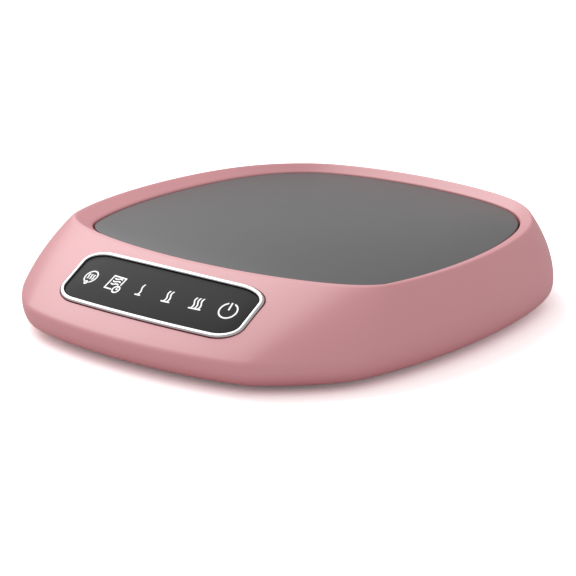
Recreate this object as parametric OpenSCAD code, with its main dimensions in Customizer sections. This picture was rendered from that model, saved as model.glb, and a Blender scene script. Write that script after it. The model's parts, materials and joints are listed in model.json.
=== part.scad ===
// Electric mug warmer with a sunk glass hot plate and a sloping touch panel.
// Millimetres, +Z up. The origin is on the surface it stands on, under the middle
// of the base. The control panel faces -Y and the power inlet is at the back, +Y.
// An outline is given by its reach: how far its edge lies from the origin, measured
// square to the edge. The casing is a loft from the base outline over the crest outline
// to the outline of the recess for the plate.

/* [Base outline] */
// Reach of the base to either side
base_side = 68; // [64:0.5:74]
// Reach of the base to the front
base_front = 75; // [71:0.5:80]
// Reach of the base to the rear
base_rear = 75; // [72:0.5:80]
// How much further the base reaches at its corners than at its sides, on average
base_fullness = 7.1; // [5:0.1:7.5]
// How much the base's front corners are drawn in
base_taper = 0.1; // [-0.3:0.1:0.6]
// Softening of the base's corners
base_softness = 0.85; // [0.2:0.05:1.1]

/* [Crest outline] */
// Reach of the crest to either side
crest_side = 62.7; // [61:0.1:64]
// Reach of the crest to the front
crest_front = 46.8; // [46:0.1:50]
// Reach of the crest to the rear
crest_rear = 69.6; // [68:0.1:70]
// How much further the crest reaches at its corners than at its sides, on average
crest_fullness = 6.9; // [5.5:0.1:7.5]
// How much the crest's front corners are drawn in
crest_taper = 2.4; // [1.5:0.1:2.6]
// Softening of the crest's corners
crest_softness = 0.35; // [0.1:0.05:0.7]

/* [Recess outline] */
// Reach of the recess to either side
recess_side = 57; // [56:0.1:58]
// Reach of the recess to the front
recess_front = 43.6; // [43:0.1:44.6]
// Reach of the recess to the rear
recess_rear = 66.5; // [65:0.1:66.6]
// How much further the recess reaches at its corners than at its sides, on average
recess_fullness = 7.2; // [6:0.1:7.4]
// How much the recess's front corners are drawn in
recess_taper = 1.6; // [1.2:0.1:2]
// Softening of the recess's corners
recess_softness = 0.3; // [0.2:0.05:0.5]

/* [Casing profile] */
// Width of the rounded undercut all round the bottom edge
undercut = 7.1; // [6:0.5:8]
// Height of the widest line above the underside
belt_height = 7.4; // [6.5:0.1:8.5]
// Rounding of the widest line, measured down the side
belt_round = 1; // [0.8:0.1:2.5]
// How far the sloping walls bulge out at mid height
wall_bulge = 1.4; // [0.8:0.1:1.6]
// Rounding of the crest, as shares of the wall below it and of the band inside it
crest_round = [0.04, 0.2]; // [0.02:0.01:0.5]
// Depth of the recess edge below the crest
lip_drop = 2.4; // [2:0.1:3]
// Rounding of the recess edge
lip_round = 0.4; // [0.2:0.1:0.8]
// Wall thickness of the casing
wall = 2; // [1.6:0.1:2.4]
// Thickness of the skirt that hangs round the plate
skirt_t = 1.6; // [1.2:0.1:1.8]

/* [Stack of heights] */
// Height of the underside above the surface
standoff = 1.6; // [1:0.1:3]
// Thickness of the base cover
cover_t = 2; // [1.8:0.1:2.6]
// Clear height over the base cover, with the plate pressed down
bay_h = 9.4; // [9:0.1:11]
// Travel of the hot plate under a mug
plate_travel = 0.8; // [0.5:0.1:1]
// Thickness of the carrier's floor
carrier_floor = 1.6; // [1.4:0.1:2.2]
// Thickness of the insulation
insulation_t = 2.5; // [2.3:0.1:4]
// Thickness of the heating element
heater_t = 0.5; // [0.3:0.1:1]
// Thickness of the heat spreader
spreader_t = 1.6; // [1.2:0.1:2.5]
// Thickness of the glass plate
glass_t = 3; // [2.5:0.1:4]
// Depth of the glass below the recess edge
plate_drop = 0.2; // [0.1:0.1:0.8]

/* [Hot plate] */
// Gap between the recess edge and the glass
plate_gap = 0.6; // [0.4:0.05:0.9]
// Gap between the skirt and the carrier
carrier_gap = 0.4; // [0.3:0.05:0.7]
// Thickness of the carrier's side wall
carrier_wall = 2; // [1.6:0.1:2.4]
// Thickness of the carrier's stop flange
flange_t = 0.8; // [0.6:0.1:1.2]
// How far the stop flange reaches out under the skirt
flange_reach = 1.3; // [0.9:0.1:1.5]
// Gap between the stop flange and the skirt at rest
stop_gap = 0.1; // [0.05:0.05:0.2]
// Thickness of the gasket under the glass
gasket_t = 0.4; // [0.3:0.1:0.8]
// Gap between the stack's pieces and the carrier's side wall
stack_gap = 0.3; // [0.2:0.1:0.6]
// How much smaller the heating element is than the spreader
heater_margin = 2; // [1:0.5:4]
// Diameter of the spreader screws
spreader_screw_d = 2; // [1.6:0.1:2.5]
// Distance of the spreader screws inside the recess edge
spreader_screw_inset = 7.5; // [6.5:0.5:8.5]

/* [Guides and springs] */
// Distance of the guide posts inside the recess edge
guide_inset = 14.5; // [14:0.5:17]
// Diameter of a guide post
post_d = 3; // [2.6:0.1:3.4]
// Radial gap between a guide post and its sleeve
guide_gap = 0.25; // [0.2:0.05:0.3]
// Wall of a guide sleeve
sleeve_wall = 0.9; // [0.8:0.1:1]
// Length of a guide sleeve below the carrier
sleeve_l = 4; // [3:0.5:5]
// Wire diameter of the plate springs
spring_wire = 0.6; // [0.4:0.1:0.8]
// Turns of a plate spring
spring_turns = 5.5; // [4:0.5:7]
// Radial gap between a spring and its sleeve
spring_gap = 0.5; // [0.3:0.1:0.7]

/* [Control panel] */
// Length of the panel's frame
bezel_l = 66.2; // [64:0.1:67]
// Height of the panel's frame without its bow, measured up the slope
bezel_h = 19.6; // [18.5:0.1:20]
// Length and height of the frame's upper corners
upper_corner = [9.6, 5.4]; // [5:0.1:10]
// Length and height of the frame's lower corners
lower_corner = [7.8, 5.2]; // [5:0.1:10]
// How far the frame's long edges bow outwards
bezel_bow = 0.3; // [0:0.05:0.5]
// How far the frame's ends hang lower on the slope than its middle
panel_arch = 1.3; // [0:0.1:1.5]
// Width of the panel's frame
bezel_w = 1.3; // [1.1:0.1:1.8]
// How far the frame stands out of the slope
bezel_proud = 0.45; // [0.2:0.05:0.8]
// Place of the panel's middle up the slope, from the widest line to the crest
panel_place = 0.59; // [0.57:0.01:0.6]
// Thickness of the touch panel
panel_t = 1.2; // [0.8:0.1:1.6]
// Depth of the touch panel's face below the casing's face
panel_sunk = 0.1; // [0:0.05:0.3]
// Gap round the frame, and between the frame and the panel
panel_gap = 0.2; // [0.1:0.05:0.3]
// Width of the ledge that the panel rests on
ledge_w = 2.2; // [1.8:0.1:3]
// Distance of the outer keys from the frame's ends
key_end = 8; // [7.5:0.1:9]
// Line width of the key icons
icon_line = 0.45; // [0.3:0.05:0.6]
// Diameter of the key contact springs
key_spring_d = 3; // [2:0.1:3.6]
// Distance from the casing's face to the control board
board_depth = 6; // [5.5:0.1:6.6]
// How far the control board reaches past the frame's ends
control_board_reach = 4.5; // [4:0.1:5]
// Height of the control board, measured up the slope
control_board_h = 14; // [12:0.5:15]
// Distance of the control board's screws from its ends
control_screw_edge = 3; // [2.6:0.1:3.2]

/* [Main board] */
// Thickness of both circuit boards
pcb_t = 1.6; // [1.2:0.1:1.8]
// Width of the main board
main_board_w = 56; // [52:1:58]
// Depth of the main board, front to rear
main_board_d = 36; // [34:1:38]
// Height of the board's standoffs
board_standoff = 1.8; // [1.4:0.1:2.2]
// Distance of the board's screws from its edges
board_screw_edge = 3; // [2.6:0.1:4]
// Diameter of the small boards' screws
small_screw_d = 1.8; // [1.5:0.1:2]

/* [Weight switch] */
// Length of the switch case
switch_l = 12.8; // [12:0.1:14]
// Width of the switch case
switch_w = 5.8; // [5.4:0.1:6.4]
// Height of the switch case
switch_h = 6.3; // [5.8:0.1:6.4]
// Distance from the lever's pin to the place that the carrier presses
lever_reach = 11.5; // [10.5:0.1:12.5]
// Distance from the lever's pin to the button
button_reach = 4.4; // [4:0.1:5]
// Thickness of the lever
lever_t = 0.35; // [0.25:0.05:0.4]
// Width of the lever
lever_w = 3.4; // [2.6:0.1:3.6]

/* [Power inlet] */
// Diameter of the inlet's threaded body
inlet_d = 7.6; // [7.4:0.1:8]
// Diameter of the plug's barrel hole
inlet_bore = 5.8; // [5.6:0.1:6]
// Depth of the barrel hole
inlet_depth = 8.6; // [8.2:0.1:9]
// Diameter of the centre pin
inlet_pin = 2; // [1.6:0.1:2.5]
// Diameter of the inlet's outer flange
inlet_flange_d = 9.4; // [9:0.1:9.8]

/* [Feet and fastenings] */
// Distance of the corner bosses inside the base outline
boss_inset = 14.5; // [14.2:0.1:15]
// Diameter of the rubber feet
foot_d = 11; // [9:0.5:11.5]
// Depth of a foot's recess in the base cover
foot_recess = 0.8; // [0.5:0.1:1]
// Diameter of the base screws
base_screw_d = 2.4; // [2:0.1:2.8]
// Head diameter of the base screws
base_head_d = 5.4; // [4.8:0.1:5.6]
// Diameter of the corner bosses
boss_d = 7; // [6.2:0.1:7.2]
// Gap between the base cover and the casing
cover_gap = 0.3; // [0.15:0.05:0.5]

/* [Hidden] */

outline_facets = 72;
round_facets = 48;
bore_fit = 0.05;
over = 1;

// Heights, from the surface upwards
underside_z = standoff;
belt_z = underside_z + belt_height;
floor_z = underside_z + cover_t;
pressed_z = floor_z + bay_h;
carrier_z = pressed_z + plate_travel;
carrier_floor_z = carrier_z + carrier_floor;
heater_z = carrier_floor_z + insulation_t;
spreader_z = heater_z + heater_t;
glass_z = spreader_z + spreader_t;
glass_top_z = glass_z + glass_t;
lip_z = glass_top_z + plate_drop;
crest_z = lip_z + lip_drop;
gasket_z = glass_z - gasket_t;
skirt_z = carrier_z + flange_t + stop_gap;

// Insets from the recess outline
carrier_inset = carrier_gap;
cavity_inset = carrier_inset + carrier_wall;
stack_inset = cavity_inset + stack_gap;

// ---------------------------------------------------------------- outlines

// Reach of an outline towards angle a is
// c[0] + c[1] sin a + c[2] cos 2a + c[3] sin 3a + c[4] cos 4a + c[5] cos 8a.
function outline_of(side, front, rear, fullness, taper, softness) =
  let(
    lengthwise = (front + rear) / 2,
    mean = (side + lengthwise) / 2
  )
  [
    mean + fullness / 2 + softness,
    (rear - front) / 2 - taper,
    (side - lengthwise) / 2,
    -taper,
    -fullness / 2,
    -softness
  ];

function reach(c, a) =
  c[0] + c[1] * sin(a) + c[2] * cos(2 * a) + c[3] * sin(3 * a)
  + c[4] * cos(4 * a) + c[5] * cos(8 * a);

// How fast the reach changes with the angle, per radian
function reach_slope(c, a) =
  c[1] * cos(a) - 2 * c[2] * sin(2 * a) + 3 * c[3] * cos(3 * a)
  - 4 * c[4] * sin(4 * a) - 8 * c[5] * sin(8 * a);

function outline_point(c, inset, a) =
  let(
    h = reach(c, a) - inset,
    d = reach_slope(c, a)
  )
  [h * cos(a) - d * sin(a), h * sin(a) + d * cos(a)];

base_outline = outline_of(base_side, base_front, base_rear, base_fullness, base_taper, base_softness);
crest_outline =
  outline_of(crest_side, crest_front, crest_rear, crest_fullness, crest_taper, crest_softness);
recess_outline =
  outline_of(recess_side, recess_front, recess_rear, recess_fullness, recess_taper, recess_softness);

// The outline at a share of the way: 0 is the base, 1 the crest and 2 the recess
function outline_at(share) =
  share <= 1
    ? (1 - share) * base_outline + share * crest_outline
    : (2 - share) * crest_outline + (share - 1) * recess_outline;

// A flat piece with the shape of an outline, drawn in by the inset
module slab(c, inset, z, t) {
  translate([0, 0, z])
    linear_extrude(t)
      polygon([for (k = [0:outline_facets - 1]) outline_point(c, inset, 360 * k / outline_facets)]);
}

// ---------------------------------------------------------- swept solids

function quad_curve(a, b, c, t) = (1 - t) * (1 - t) * a + 2 * t * (1 - t) * b + t * t * c;
function curve_steps(a, b, c, n) = [for (i = [1:n]) quad_curve(a, b, c, i / n)];

// A closed ring of section points, swept round a closed path: rings[i][j]
module ring_solid(rings) {
  m = len(rings);
  n = len(rings[0]);
  polyhedron(
    points = [for (ring = rings) each ring],
    faces = [
      for (i = [0:m - 1], j = [0:n - 1])
        let(
          i2 = (i + 1) % m,
          j2 = (j + 1) % n,
          a = i * n + j,
          b = i * n + j2,
          c = i2 * n + j2,
          d = i2 * n + j
        )
        each [[a, d, c], [a, c, b]]
    ]
  );
}

// A tube of the given diameter along open path points, with flat ends
module tube(path, d, sides = 6) {
  n = len(path);
  function unit(v) = v / norm(v);
  function along(i) = unit(path[min(i + 1, n - 1)] - path[max(i - 1, 0)]);
  function aside(i) =
    let(t = along(i), pick = abs(t[2]) > 0.9 ? [0, 1, 0] : [0, 0, 1])
    unit(cross(pick, t));
  points = [
    for (i = [0:n - 1])
      let(u = aside(i), v = cross(along(i), u))
      for (k = [0:sides - 1])
        path[i] + d / 2 * (cos(360 * k / sides) * u + sin(360 * k / sides) * v)
  ];
  polyhedron(
    points = points,
    faces = [
      [for (k = [0:sides - 1]) k],
      for (i = [0:n - 2], k = [0:sides - 1])
        let(a = i * sides + k, b = i * sides + (k + 1) % sides)
        each [[a, a + sides, b + sides], [a, b + sides, b]],
      [for (k = [sides - 1:-1:0]) (n - 1) * sides + k]
    ]
  );
}

module rod(d, l) {
  cylinder(d = d, h = l, $fn = round_facets);
}

// Turns +Z towards -Y or +Y, for holes and pins that run front to rear
module facing_rear() {
  rotate([-90, 0, 0]) children();
}

// -------------------------------------------------------- casing profile

// A station of the casing: [share of the way, inset, height]
function outer_wall(w) = [w, -4 * w * (1 - w) * wall_bulge, belt_z + w * (crest_z - belt_z)];
function band(w) = [1 + w, 0, crest_z - w * lip_drop];
wall_low = 0.05;
wall_mid = [0.25, 0.5, 0.75];
wall_high = 1 - crest_round[0];

inner_shift = [0, 0.65 * wall, -0.85 * wall];
shelf_z = floor_z;
under_start = [0, undercut, underside_z];
belt_start = [0, 0, belt_z - belt_round];
lip_start = [2, -lip_round, lip_z + 0.6 * lip_round];
inner_belt = [0, 1.1 * wall, belt_z - 0.4 * wall];

profile = concat(
  [under_start],
  curve_steps(under_start, [0, 0, underside_z], belt_start, 6),
  curve_steps(belt_start, [0, 0, belt_z], outer_wall(wall_low), 3),
  [for (w = wall_mid) outer_wall(w)],
  [outer_wall(wall_high)],
  curve_steps(outer_wall(wall_high), band(0), band(crest_round[1]), 6),
  [band(0.6), lip_start],
  curve_steps(lip_start, [2, 0, lip_z], [2, 0, lip_z - lip_round], 2),
  [
    [2, 0, skirt_z],
    [2, -skirt_t, skirt_z],
    [2, -skirt_t, lip_z - 0.75 * wall],
    outer_wall(wall_high) + inner_shift
  ],
  [for (i = [len(wall_mid) - 1:-1:0]) outer_wall(wall_mid[i]) + inner_shift],
  [inner_belt],
  curve_steps(inner_belt, [0, 1.1 * wall, shelf_z], [0, undercut, shelf_z], 3)
);

module casing_shell() {
  ring_solid([
    for (s = profile)
      let(c = outline_at(s[0]))
      [
        for (k = [0:outline_facets - 1])
          let(p = outline_point(c, s[1], 360 * k / outline_facets))
          [p[0], p[1], s[2]]
      ]
  ]);
}

// ------------------------------------------------------------ panel frame

// The panel follows the sloping front face. Its own axes are x along the face,
// s up the slope and n out of the face. The face bends back towards its ends.
face_run = base_front - crest_front;
face_rise = crest_z - belt_z;
face_angle = atan2(face_rise, face_run);
up_slope = [0, cos(face_angle), sin(face_angle)];
out_of_face = [0, -sin(face_angle), cos(face_angle)];
face_outline = outline_at(panel_place);
face_bulge = -outer_wall(panel_place)[1];
panel_middle = [0, -reach(face_outline, -90) - face_bulge, outer_wall(panel_place)[2]];

bend_table = [
  for (turn = [0:1:30])
    let(p = outline_point(face_outline, -face_bulge, turn - 90))
    [p[0], p[1] - panel_middle[1]]
];
function bend(x) = lookup(abs(x), bend_table);
// Angle of the bent face about Z at x
function bend_angle(x) = sign(x) * atan2(bend(abs(x) + 1) - bend(abs(x) - 1), 2);
// How far a row that follows the panel hangs below its middle at x
function hang(x) = panel_arch * pow(2 * x / bezel_l, 2);
function on_face(x, s, n) =
  panel_middle + [x, bend(x), 0] + (s - hang(x)) * up_slope + n * out_of_face;

// Places children on the bent face, turned to lie along it
module at_face(x, s, n) {
  translate(on_face(x, s, n))
    rotate([0, 0, bend_angle(x)])
      rotate([face_angle, 0, 0])
        children();
}

// Places children on the flat plane through the panel's middle
module at_panel(x, s, n) {
  translate(panel_middle + [x, 0, 0] + s * up_slope + n * out_of_face)
    rotate([face_angle, 0, 0])
      children();
}

corner_steps = 6;
side_steps = 6;

// Columns [x, reach up, reach down] of a rounded shape, left to right. A corner is
// [length, height], and both long edges bow outwards.
function shape_columns(l, h, upper, lower, bow) =
  let(
    left = [for (i = [0:corner_steps]) upper[0] * (1 - cos(90 * i / corner_steps))],
    flat = l - 2 * upper[0],
    starts = concat(
      left,
      [for (i = [1:side_steps - 1]) upper[0] + flat * i / side_steps],
      [for (i = [corner_steps:-1:0]) l - left[i]]
    )
  )
  [
    for (d = starts)
      let(
        x = d - l / 2,
        from_end = min(d, l - d),
        swell = bow * (1 - pow(2 * x / l, 2))
      )
      [x, h / 2 - corner_fall(from_end, upper) + swell, h / 2 - corner_fall(from_end, lower) + swell]
  ];

// How far a corner's edge has fallen at a distance from the end
function corner_fall(from_end, corner) =
  corner[1] * (1 - sqrt(1 - pow(max(0, 1 - from_end / corner[0]), 2)));

// The frame's shape, drawn in by the inset
function panel_columns(inset) =
  shape_columns(
    bezel_l - 2 * inset,
    bezel_h - 2 * inset,
    upper_corner - [inset, inset],
    lower_corner - [inset, inset],
    bezel_bow
  );

// The frame's shape, drawn in by the inset and bent with the face, between two depths
module bent_slab(inset, n0, n1) {
  cols = panel_columns(inset);
  last = len(cols) - 1;
  polyhedron(
    points = [
      for (c = cols)
        each [
          on_face(c[0], c[1], n1), on_face(c[0], -c[2], n1),
          on_face(c[0], c[1], n0), on_face(c[0], -c[2], n0)
        ]
    ],
    faces = [
      [0, 1, 3, 2],
      for (i = [0:last - 1])
        let(a = 4 * i, b = 4 * (i + 1))
        each [
          [a, b, b + 1, a + 1],
          [a + 2, a + 3, b + 3, b + 2],
          [a, a + 2, b + 2, b],
          [a + 1, b + 1, b + 3, a + 3]
        ],
      [4 * last, 4 * last + 2, 4 * last + 3, 4 * last + 1]
    ]
  );
}

pocket_n = -panel_sunk - panel_t;
frame_back = 3.2;
board_top_n = -board_depth;
board_back_n = board_top_n - pcb_t;
control_boss_d = 5;
control_board_l = bezel_l + 2 * control_board_reach;
control_screw_x = control_board_l / 2 - control_screw_edge;

// ---------------------------------------------------------------- places

boss_angles = [-45, 45];
boss_places = [
  for (side = [1, -1], a = boss_angles)
    let(p = outline_point(base_outline, boss_inset, a))
    [side * p[0], p[1], side > 0 ? a : 180 - a]
];
guide_places = [
  for (side = [1, -1], a = boss_angles)
    let(p = outline_point(recess_outline, guide_inset, a))
    [side * p[0], p[1]]
];
spreader_screw_places = [
  for (a = [0:90:270])
    outline_point(recess_outline, spreader_screw_inset, a)
];

tower_top_z = floor_z + 2.8;
tower_d = 8.4;
head_seat_z = floor_z + 0.6;
boss_top_z = pressed_z - 0.6;
rib_top_z = belt_z + 1.1;
rib_end_inset = 1.7;
rib_t = 1.8;
screw_clear = 0.4;
base_screw_l = 7;
base_head_h = 1.6;

board_middle_y = -8;
board_z = floor_z + board_standoff;
board_top_z = board_z + pcb_t;
board_screw_places = [
  for (x = [-1, 1], y = [-1, 1])
    [
      x * (main_board_w / 2 - board_screw_edge),
      board_middle_y + y * (main_board_d / 2 - board_screw_edge)
    ]
];
connector_h = 3.4;
connector_top_z = board_top_z + connector_h;
heater_port = [-15, 2];
sensor_port = [13, 2];
port_d = 5;
fuse_y = -20;
fuse_d = 2.3;
fuse_l = 11;
fuse_slot = [13, 3.4];

switch_x = 18;
switch_y = 28;
switch_z = floor_z + 0.4;
switch_top_z = switch_z + switch_h;
hinge_x = switch_x - switch_l / 2 + 1.4;
hinge_z = switch_top_z + 0.95;
hinge_pin_d = 0.8;
lever_barrel_d = 1.6;
lever_z = hinge_z + 0.1;
press_x = hinge_x + lever_reach;
button_x = hinge_x + button_reach;
press_gap = 0.15;
switch_hole_d = 2.1;
switch_hole_xs = [switch_x - 3.25, switch_x + 3.25];
switch_hole_z = switch_z + 2;
switch_wall_t = 2;

inlet_z = belt_z;
inlet_flange_t = 1.1;
inlet_front_y = base_rear;
inlet_face_y = inlet_front_y - inlet_flange_t;
inlet_pad_y = inlet_face_y - 2.4;
inlet_end_y = inlet_front_y - inlet_depth - 0.8;
nut_t = 2;
nut_flats = 10;

// ------------------------------------------------------------- the casing

module upper_housing() color([0.91, 0.72, 0.75]) {
  difference() {
    union() {
      casing_shell();
      bent_slab(-2, -frame_back, -1.1);
      for (side = [-1, 1])
        at_panel(side * control_screw_x, 0, board_top_n)
          rod(control_boss_d, board_depth - 2.4);
      for (b = boss_places)
        translate([b[0], b[1], tower_top_z]) {
          rod(boss_d, boss_top_z - tower_top_z);
          rotate([0, 0, b[2]])
            translate([0, -rib_t / 2, 0])
              cube([boss_inset - rib_end_inset, rib_t, rib_top_z - tower_top_z]);
        }
      translate([0, inlet_pad_y, inlet_z]) facing_rear() rod(inlet_flange_d + 2.4, 1.8);
    }
    bent_slab(-panel_gap, pocket_n, 3);
    bent_slab(bezel_w + ledge_w, -frame_back - over, 3);
    for (side = [-1, 1])
      at_panel(side * control_screw_x, 0, board_top_n - over)
        rod(small_screw_d + 2 * bore_fit, 3.2 + over);
    for (b = boss_places)
      translate([b[0], b[1], tower_top_z - over])
        rod(base_screw_d + 2 * bore_fit, boss_top_z - tower_top_z - 0.6 + over);
    translate([0, inlet_pad_y - over, inlet_z]) facing_rear() rod(inlet_d + 0.3, 8);
    translate([0, inlet_face_y, inlet_z]) facing_rear() rod(inlet_flange_d + 0.5, 8);
    translate([0, inlet_pad_y - nut_t - 1, inlet_z])
      facing_rear() rod(nut_flats / cos(30) + 0.6, nut_t + 1);
  }
}

module base_cover() color([0.86, 0.66, 0.69]) {
  difference() {
    union() {
      slab(base_outline, undercut + cover_gap, underside_z, cover_t);
      for (b = boss_places)
        translate([b[0], b[1], underside_z]) rod(tower_d, tower_top_z - underside_z);
      for (g = guide_places)
        translate([g[0], g[1], floor_z - bore_fit]) rod(post_d, pressed_z - 0.4 - floor_z);
      for (p = board_screw_places)
        translate([p[0], p[1], floor_z - bore_fit]) rod(4.6, board_standoff + bore_fit);
      translate([switch_x - switch_l / 2, switch_y + switch_w / 2, floor_z - bore_fit])
        cube([switch_l, switch_wall_t, switch_z - floor_z + 5]);
      translate([switch_x - switch_l / 2, switch_y - switch_w / 2, floor_z - bore_fit])
        cube([switch_l, switch_w, switch_z - floor_z + bore_fit]);
    }
    for (b = boss_places)
      translate([b[0], b[1], underside_z]) {
        translate([0, 0, -over]) rod(foot_d + 0.3, foot_recess + over);
        translate([0, 0, -over]) rod(base_head_d + screw_clear, head_seat_z - underside_z + over);
        rod(base_screw_d + 2 * screw_clear, tower_top_z - underside_z + over);
      }
    for (p = board_screw_places)
      translate([p[0], p[1], floor_z - 1]) rod(small_screw_d + 2 * bore_fit, board_standoff + 2);
    for (x = switch_hole_xs)
      translate([x, switch_y, switch_hole_z])
        facing_rear() rod(small_screw_d + 2 * bore_fit, switch_w / 2 + switch_wall_t + over);
  }
}

module rubber_feet() color([0.13, 0.13, 0.13])
  for (b = boss_places)
    translate([b[0], b[1], 0]) {
      translate([0, 0, 0.6]) rod(foot_d, standoff + foot_recess - 0.6);
      cylinder(d1 = foot_d - 1.2, d2 = foot_d, h = 0.6, $fn = round_facets);
    }

module pan_screw(d, l, head_d, head_h) {
  rod(d, l);
  difference() {
    translate([0, 0, -head_h]) rod(head_d, head_h);
    for (turn = [0, 90])
      rotate([0, 0, turn])
        translate([-head_d * 0.3, -head_d * 0.07, -head_h - over])
          cube([head_d * 0.6, head_d * 0.14, head_h * 0.5 + over]);
  }
}

module base_screws() color([0.72, 0.73, 0.75])
  for (b = boss_places)
    translate([b[0], b[1], head_seat_z]) pan_screw(base_screw_d, base_screw_l, base_head_d, base_head_h);

// ---------------------------------------------------------- the hot plate

module plate_glass() color([0.50, 0.50, 0.51])
  slab(recess_outline, plate_gap, glass_z, glass_t);

module plate_gasket() color([0.06, 0.06, 0.06])
  difference() {
    slab(recess_outline, 0.35, gasket_z, gasket_t);
    slab(recess_outline, cavity_inset, gasket_z - over, gasket_t + 2 * over);
  }

module screw_holes(z, d, h) {
  for (p = spreader_screw_places)
    translate([p[0], p[1], z]) rod(d, h);
}

module ports(z, h) {
  for (p = [heater_port, sensor_port])
    translate([p[0], p[1], z]) rod(port_d, h);
}

module heat_spreader() color([0.80, 0.81, 0.83])
  difference() {
    slab(recess_outline, stack_inset, spreader_z, spreader_t);
    screw_holes(spreader_z - over, spreader_screw_d + 2 * bore_fit, spreader_t * 0.7 + over);
  }

module heating_element() color([0.78, 0.52, 0.24])
  difference() {
    union() {
      slab(recess_outline, stack_inset + heater_margin, heater_z, heater_t);
      for (side = [-1, 1])
        translate([heater_port[0] + side * 1.2 - 0.7, heater_port[1] - 0.7, heater_z - 0.5])
          cube([1.4, 1.4, 0.5 + bore_fit]);
    }
    screw_holes(heater_z - over, spreader_screw_d + 2 * screw_clear, heater_t + 2 * over);
  }

module fuse_slot(z, h) {
  translate([-fuse_slot[0] / 2, fuse_y - fuse_slot[1] / 2, z]) cube([fuse_slot[0], fuse_slot[1], h]);
}

module insulation_pad() color([0.88, 0.86, 0.80])
  difference() {
    slab(recess_outline, stack_inset, carrier_floor_z, insulation_t);
    screw_holes(carrier_floor_z - over, spreader_screw_d + 2 * screw_clear, insulation_t + 2 * over);
    ports(carrier_floor_z - over, insulation_t + 2 * over);
    fuse_slot(carrier_floor_z - over, insulation_t + 2 * over);
  }

clamp_l = 22;
clamp_w = 5;
clamp_t = 0.4;
clamp_screw_x = 9;
clamp_screw_d = small_screw_d - 0.4;

module plate_carrier() color([0.20, 0.20, 0.21])
  difference() {
    union() {
      slab(recess_outline, -flange_reach, carrier_z, flange_t);
      slab(recess_outline, carrier_inset, carrier_z, gasket_z - carrier_z);
      for (g = guide_places)
        translate([g[0], g[1], carrier_z - sleeve_l])
          rod(post_d + 2 * guide_gap + 2 * sleeve_wall, sleeve_l + bore_fit);
      translate([press_x, switch_y, lever_z + lever_t + press_gap])
        rod(2, carrier_z - lever_z - lever_t - press_gap + bore_fit);
    }
    slab(recess_outline, cavity_inset, carrier_floor_z, 20);
    for (g = guide_places)
      translate([g[0], g[1], carrier_z - sleeve_l - over]) rod(post_d + 2 * guide_gap, sleeve_l + over);
    screw_holes(carrier_z - over, spreader_screw_d + 2 * bore_fit, carrier_floor + 2 * over);
    screw_holes(carrier_z - over, 2 * spreader_screw_d + screw_clear, 0.8 + over);
    ports(carrier_z - over, carrier_floor + 2 * over);
    fuse_slot(carrier_z - over, carrier_floor + 2 * over);
    for (side = [-1, 1])
      translate([side * clamp_screw_x, fuse_y, carrier_z - over])
        rod(clamp_screw_d + 2 * bore_fit, carrier_floor + 2 * over);
  }

module spreader_screws() color([0.72, 0.73, 0.75])
  for (p = spreader_screw_places)
    translate([p[0], p[1], carrier_z + 0.75])
      pan_screw(
        spreader_screw_d,
        spreader_z + spreader_t * 0.6 - carrier_z - 0.75,
        2 * spreader_screw_d,
        0.7
      );

module thermistor() color([0.16, 0.14, 0.13])
  translate([sensor_port[0], sensor_port[1], heater_z - 2.2]) rod(3.2, 2.2);

module thermal_fuse() color([0.75, 0.75, 0.72])
  translate([-fuse_l / 2, fuse_y, heater_z - fuse_d / 2])
    rotate([0, 90, 0]) rod(fuse_d, fuse_l);

module fuse_clamp() color([0.70, 0.71, 0.73]) {
  difference() {
    translate([-clamp_l / 2, fuse_y - clamp_w / 2, carrier_z - clamp_t])
      cube([clamp_l, clamp_w, clamp_t]);
    for (side = [-1, 1])
      translate([side * clamp_screw_x, fuse_y, carrier_z - over]) rod(small_screw_d, 2 * over);
  }
  translate([-3, fuse_y - 1, carrier_z - bore_fit])
    cube([6, 2, heater_z - fuse_d - carrier_z + bore_fit]);
}

module clamp_screws() color([0.72, 0.73, 0.75])
  for (side = [-1, 1])
    translate([side * clamp_screw_x, fuse_y, carrier_z - clamp_t])
      pan_screw(clamp_screw_d, clamp_t + carrier_floor - 0.2, 2.6, 0.7);

spring_r = post_d / 2 + guide_gap + sleeve_wall + spring_gap + spring_wire / 2;
spring_rings = 8;
spring_seat = spring_wire / 2 + 0.05;
spring_rise = (carrier_z - floor_z - 2 * spring_seat) / (spring_turns * spring_rings);
spring_path = [
  for (i = [0:spring_turns * spring_rings])
    let(a = 360 * i / spring_rings)
    [spring_r * cos(a), spring_r * sin(a), floor_z + spring_seat + i * spring_rise]
];
spring_least_gap = min([
  for (i = [0:len(spring_path) - 1 - spring_rings])
    norm(spring_path[i + spring_rings] - spring_path[i]) - spring_wire
]);
echo(str("Least gap between a plate spring's turns: ", spring_least_gap, " mm"));

module plate_springs() color([0.76, 0.77, 0.79])
  for (g = guide_places)
    translate([g[0], g[1], 0]) tube(spring_path, spring_wire);

// --------------------------------------------------------- weight switch

button_w = 2.2;
ear_t = 0.9;
ear_gap = 0.15;
ear_y = lever_w / 2 + ear_gap + ear_t / 2;

module switch_case() color([0.12, 0.12, 0.13])
  difference() {
    union() {
      translate([switch_x - switch_l / 2, switch_y - switch_w / 2, switch_z])
        cube([switch_l, switch_w, switch_h]);
      for (side = [-1, 1])
        translate([hinge_x - 1, switch_y + side * ear_y - ear_t / 2, switch_top_z - bore_fit])
          cube([2, ear_t, 1.6]);
    }
    translate([button_x - button_w / 2 - 0.15, switch_y - 1.35, switch_top_z - 3])
      cube([button_w + 0.3, 2.7, 3 + over]);
    for (x = switch_hole_xs)
      translate([x, switch_y - switch_w, switch_hole_z]) facing_rear() rod(switch_hole_d, 2 * switch_w);
    translate([hinge_x, switch_y - switch_w, hinge_z]) facing_rear() rod(hinge_pin_d + 0.04, 2 * switch_w);
  }

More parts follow.
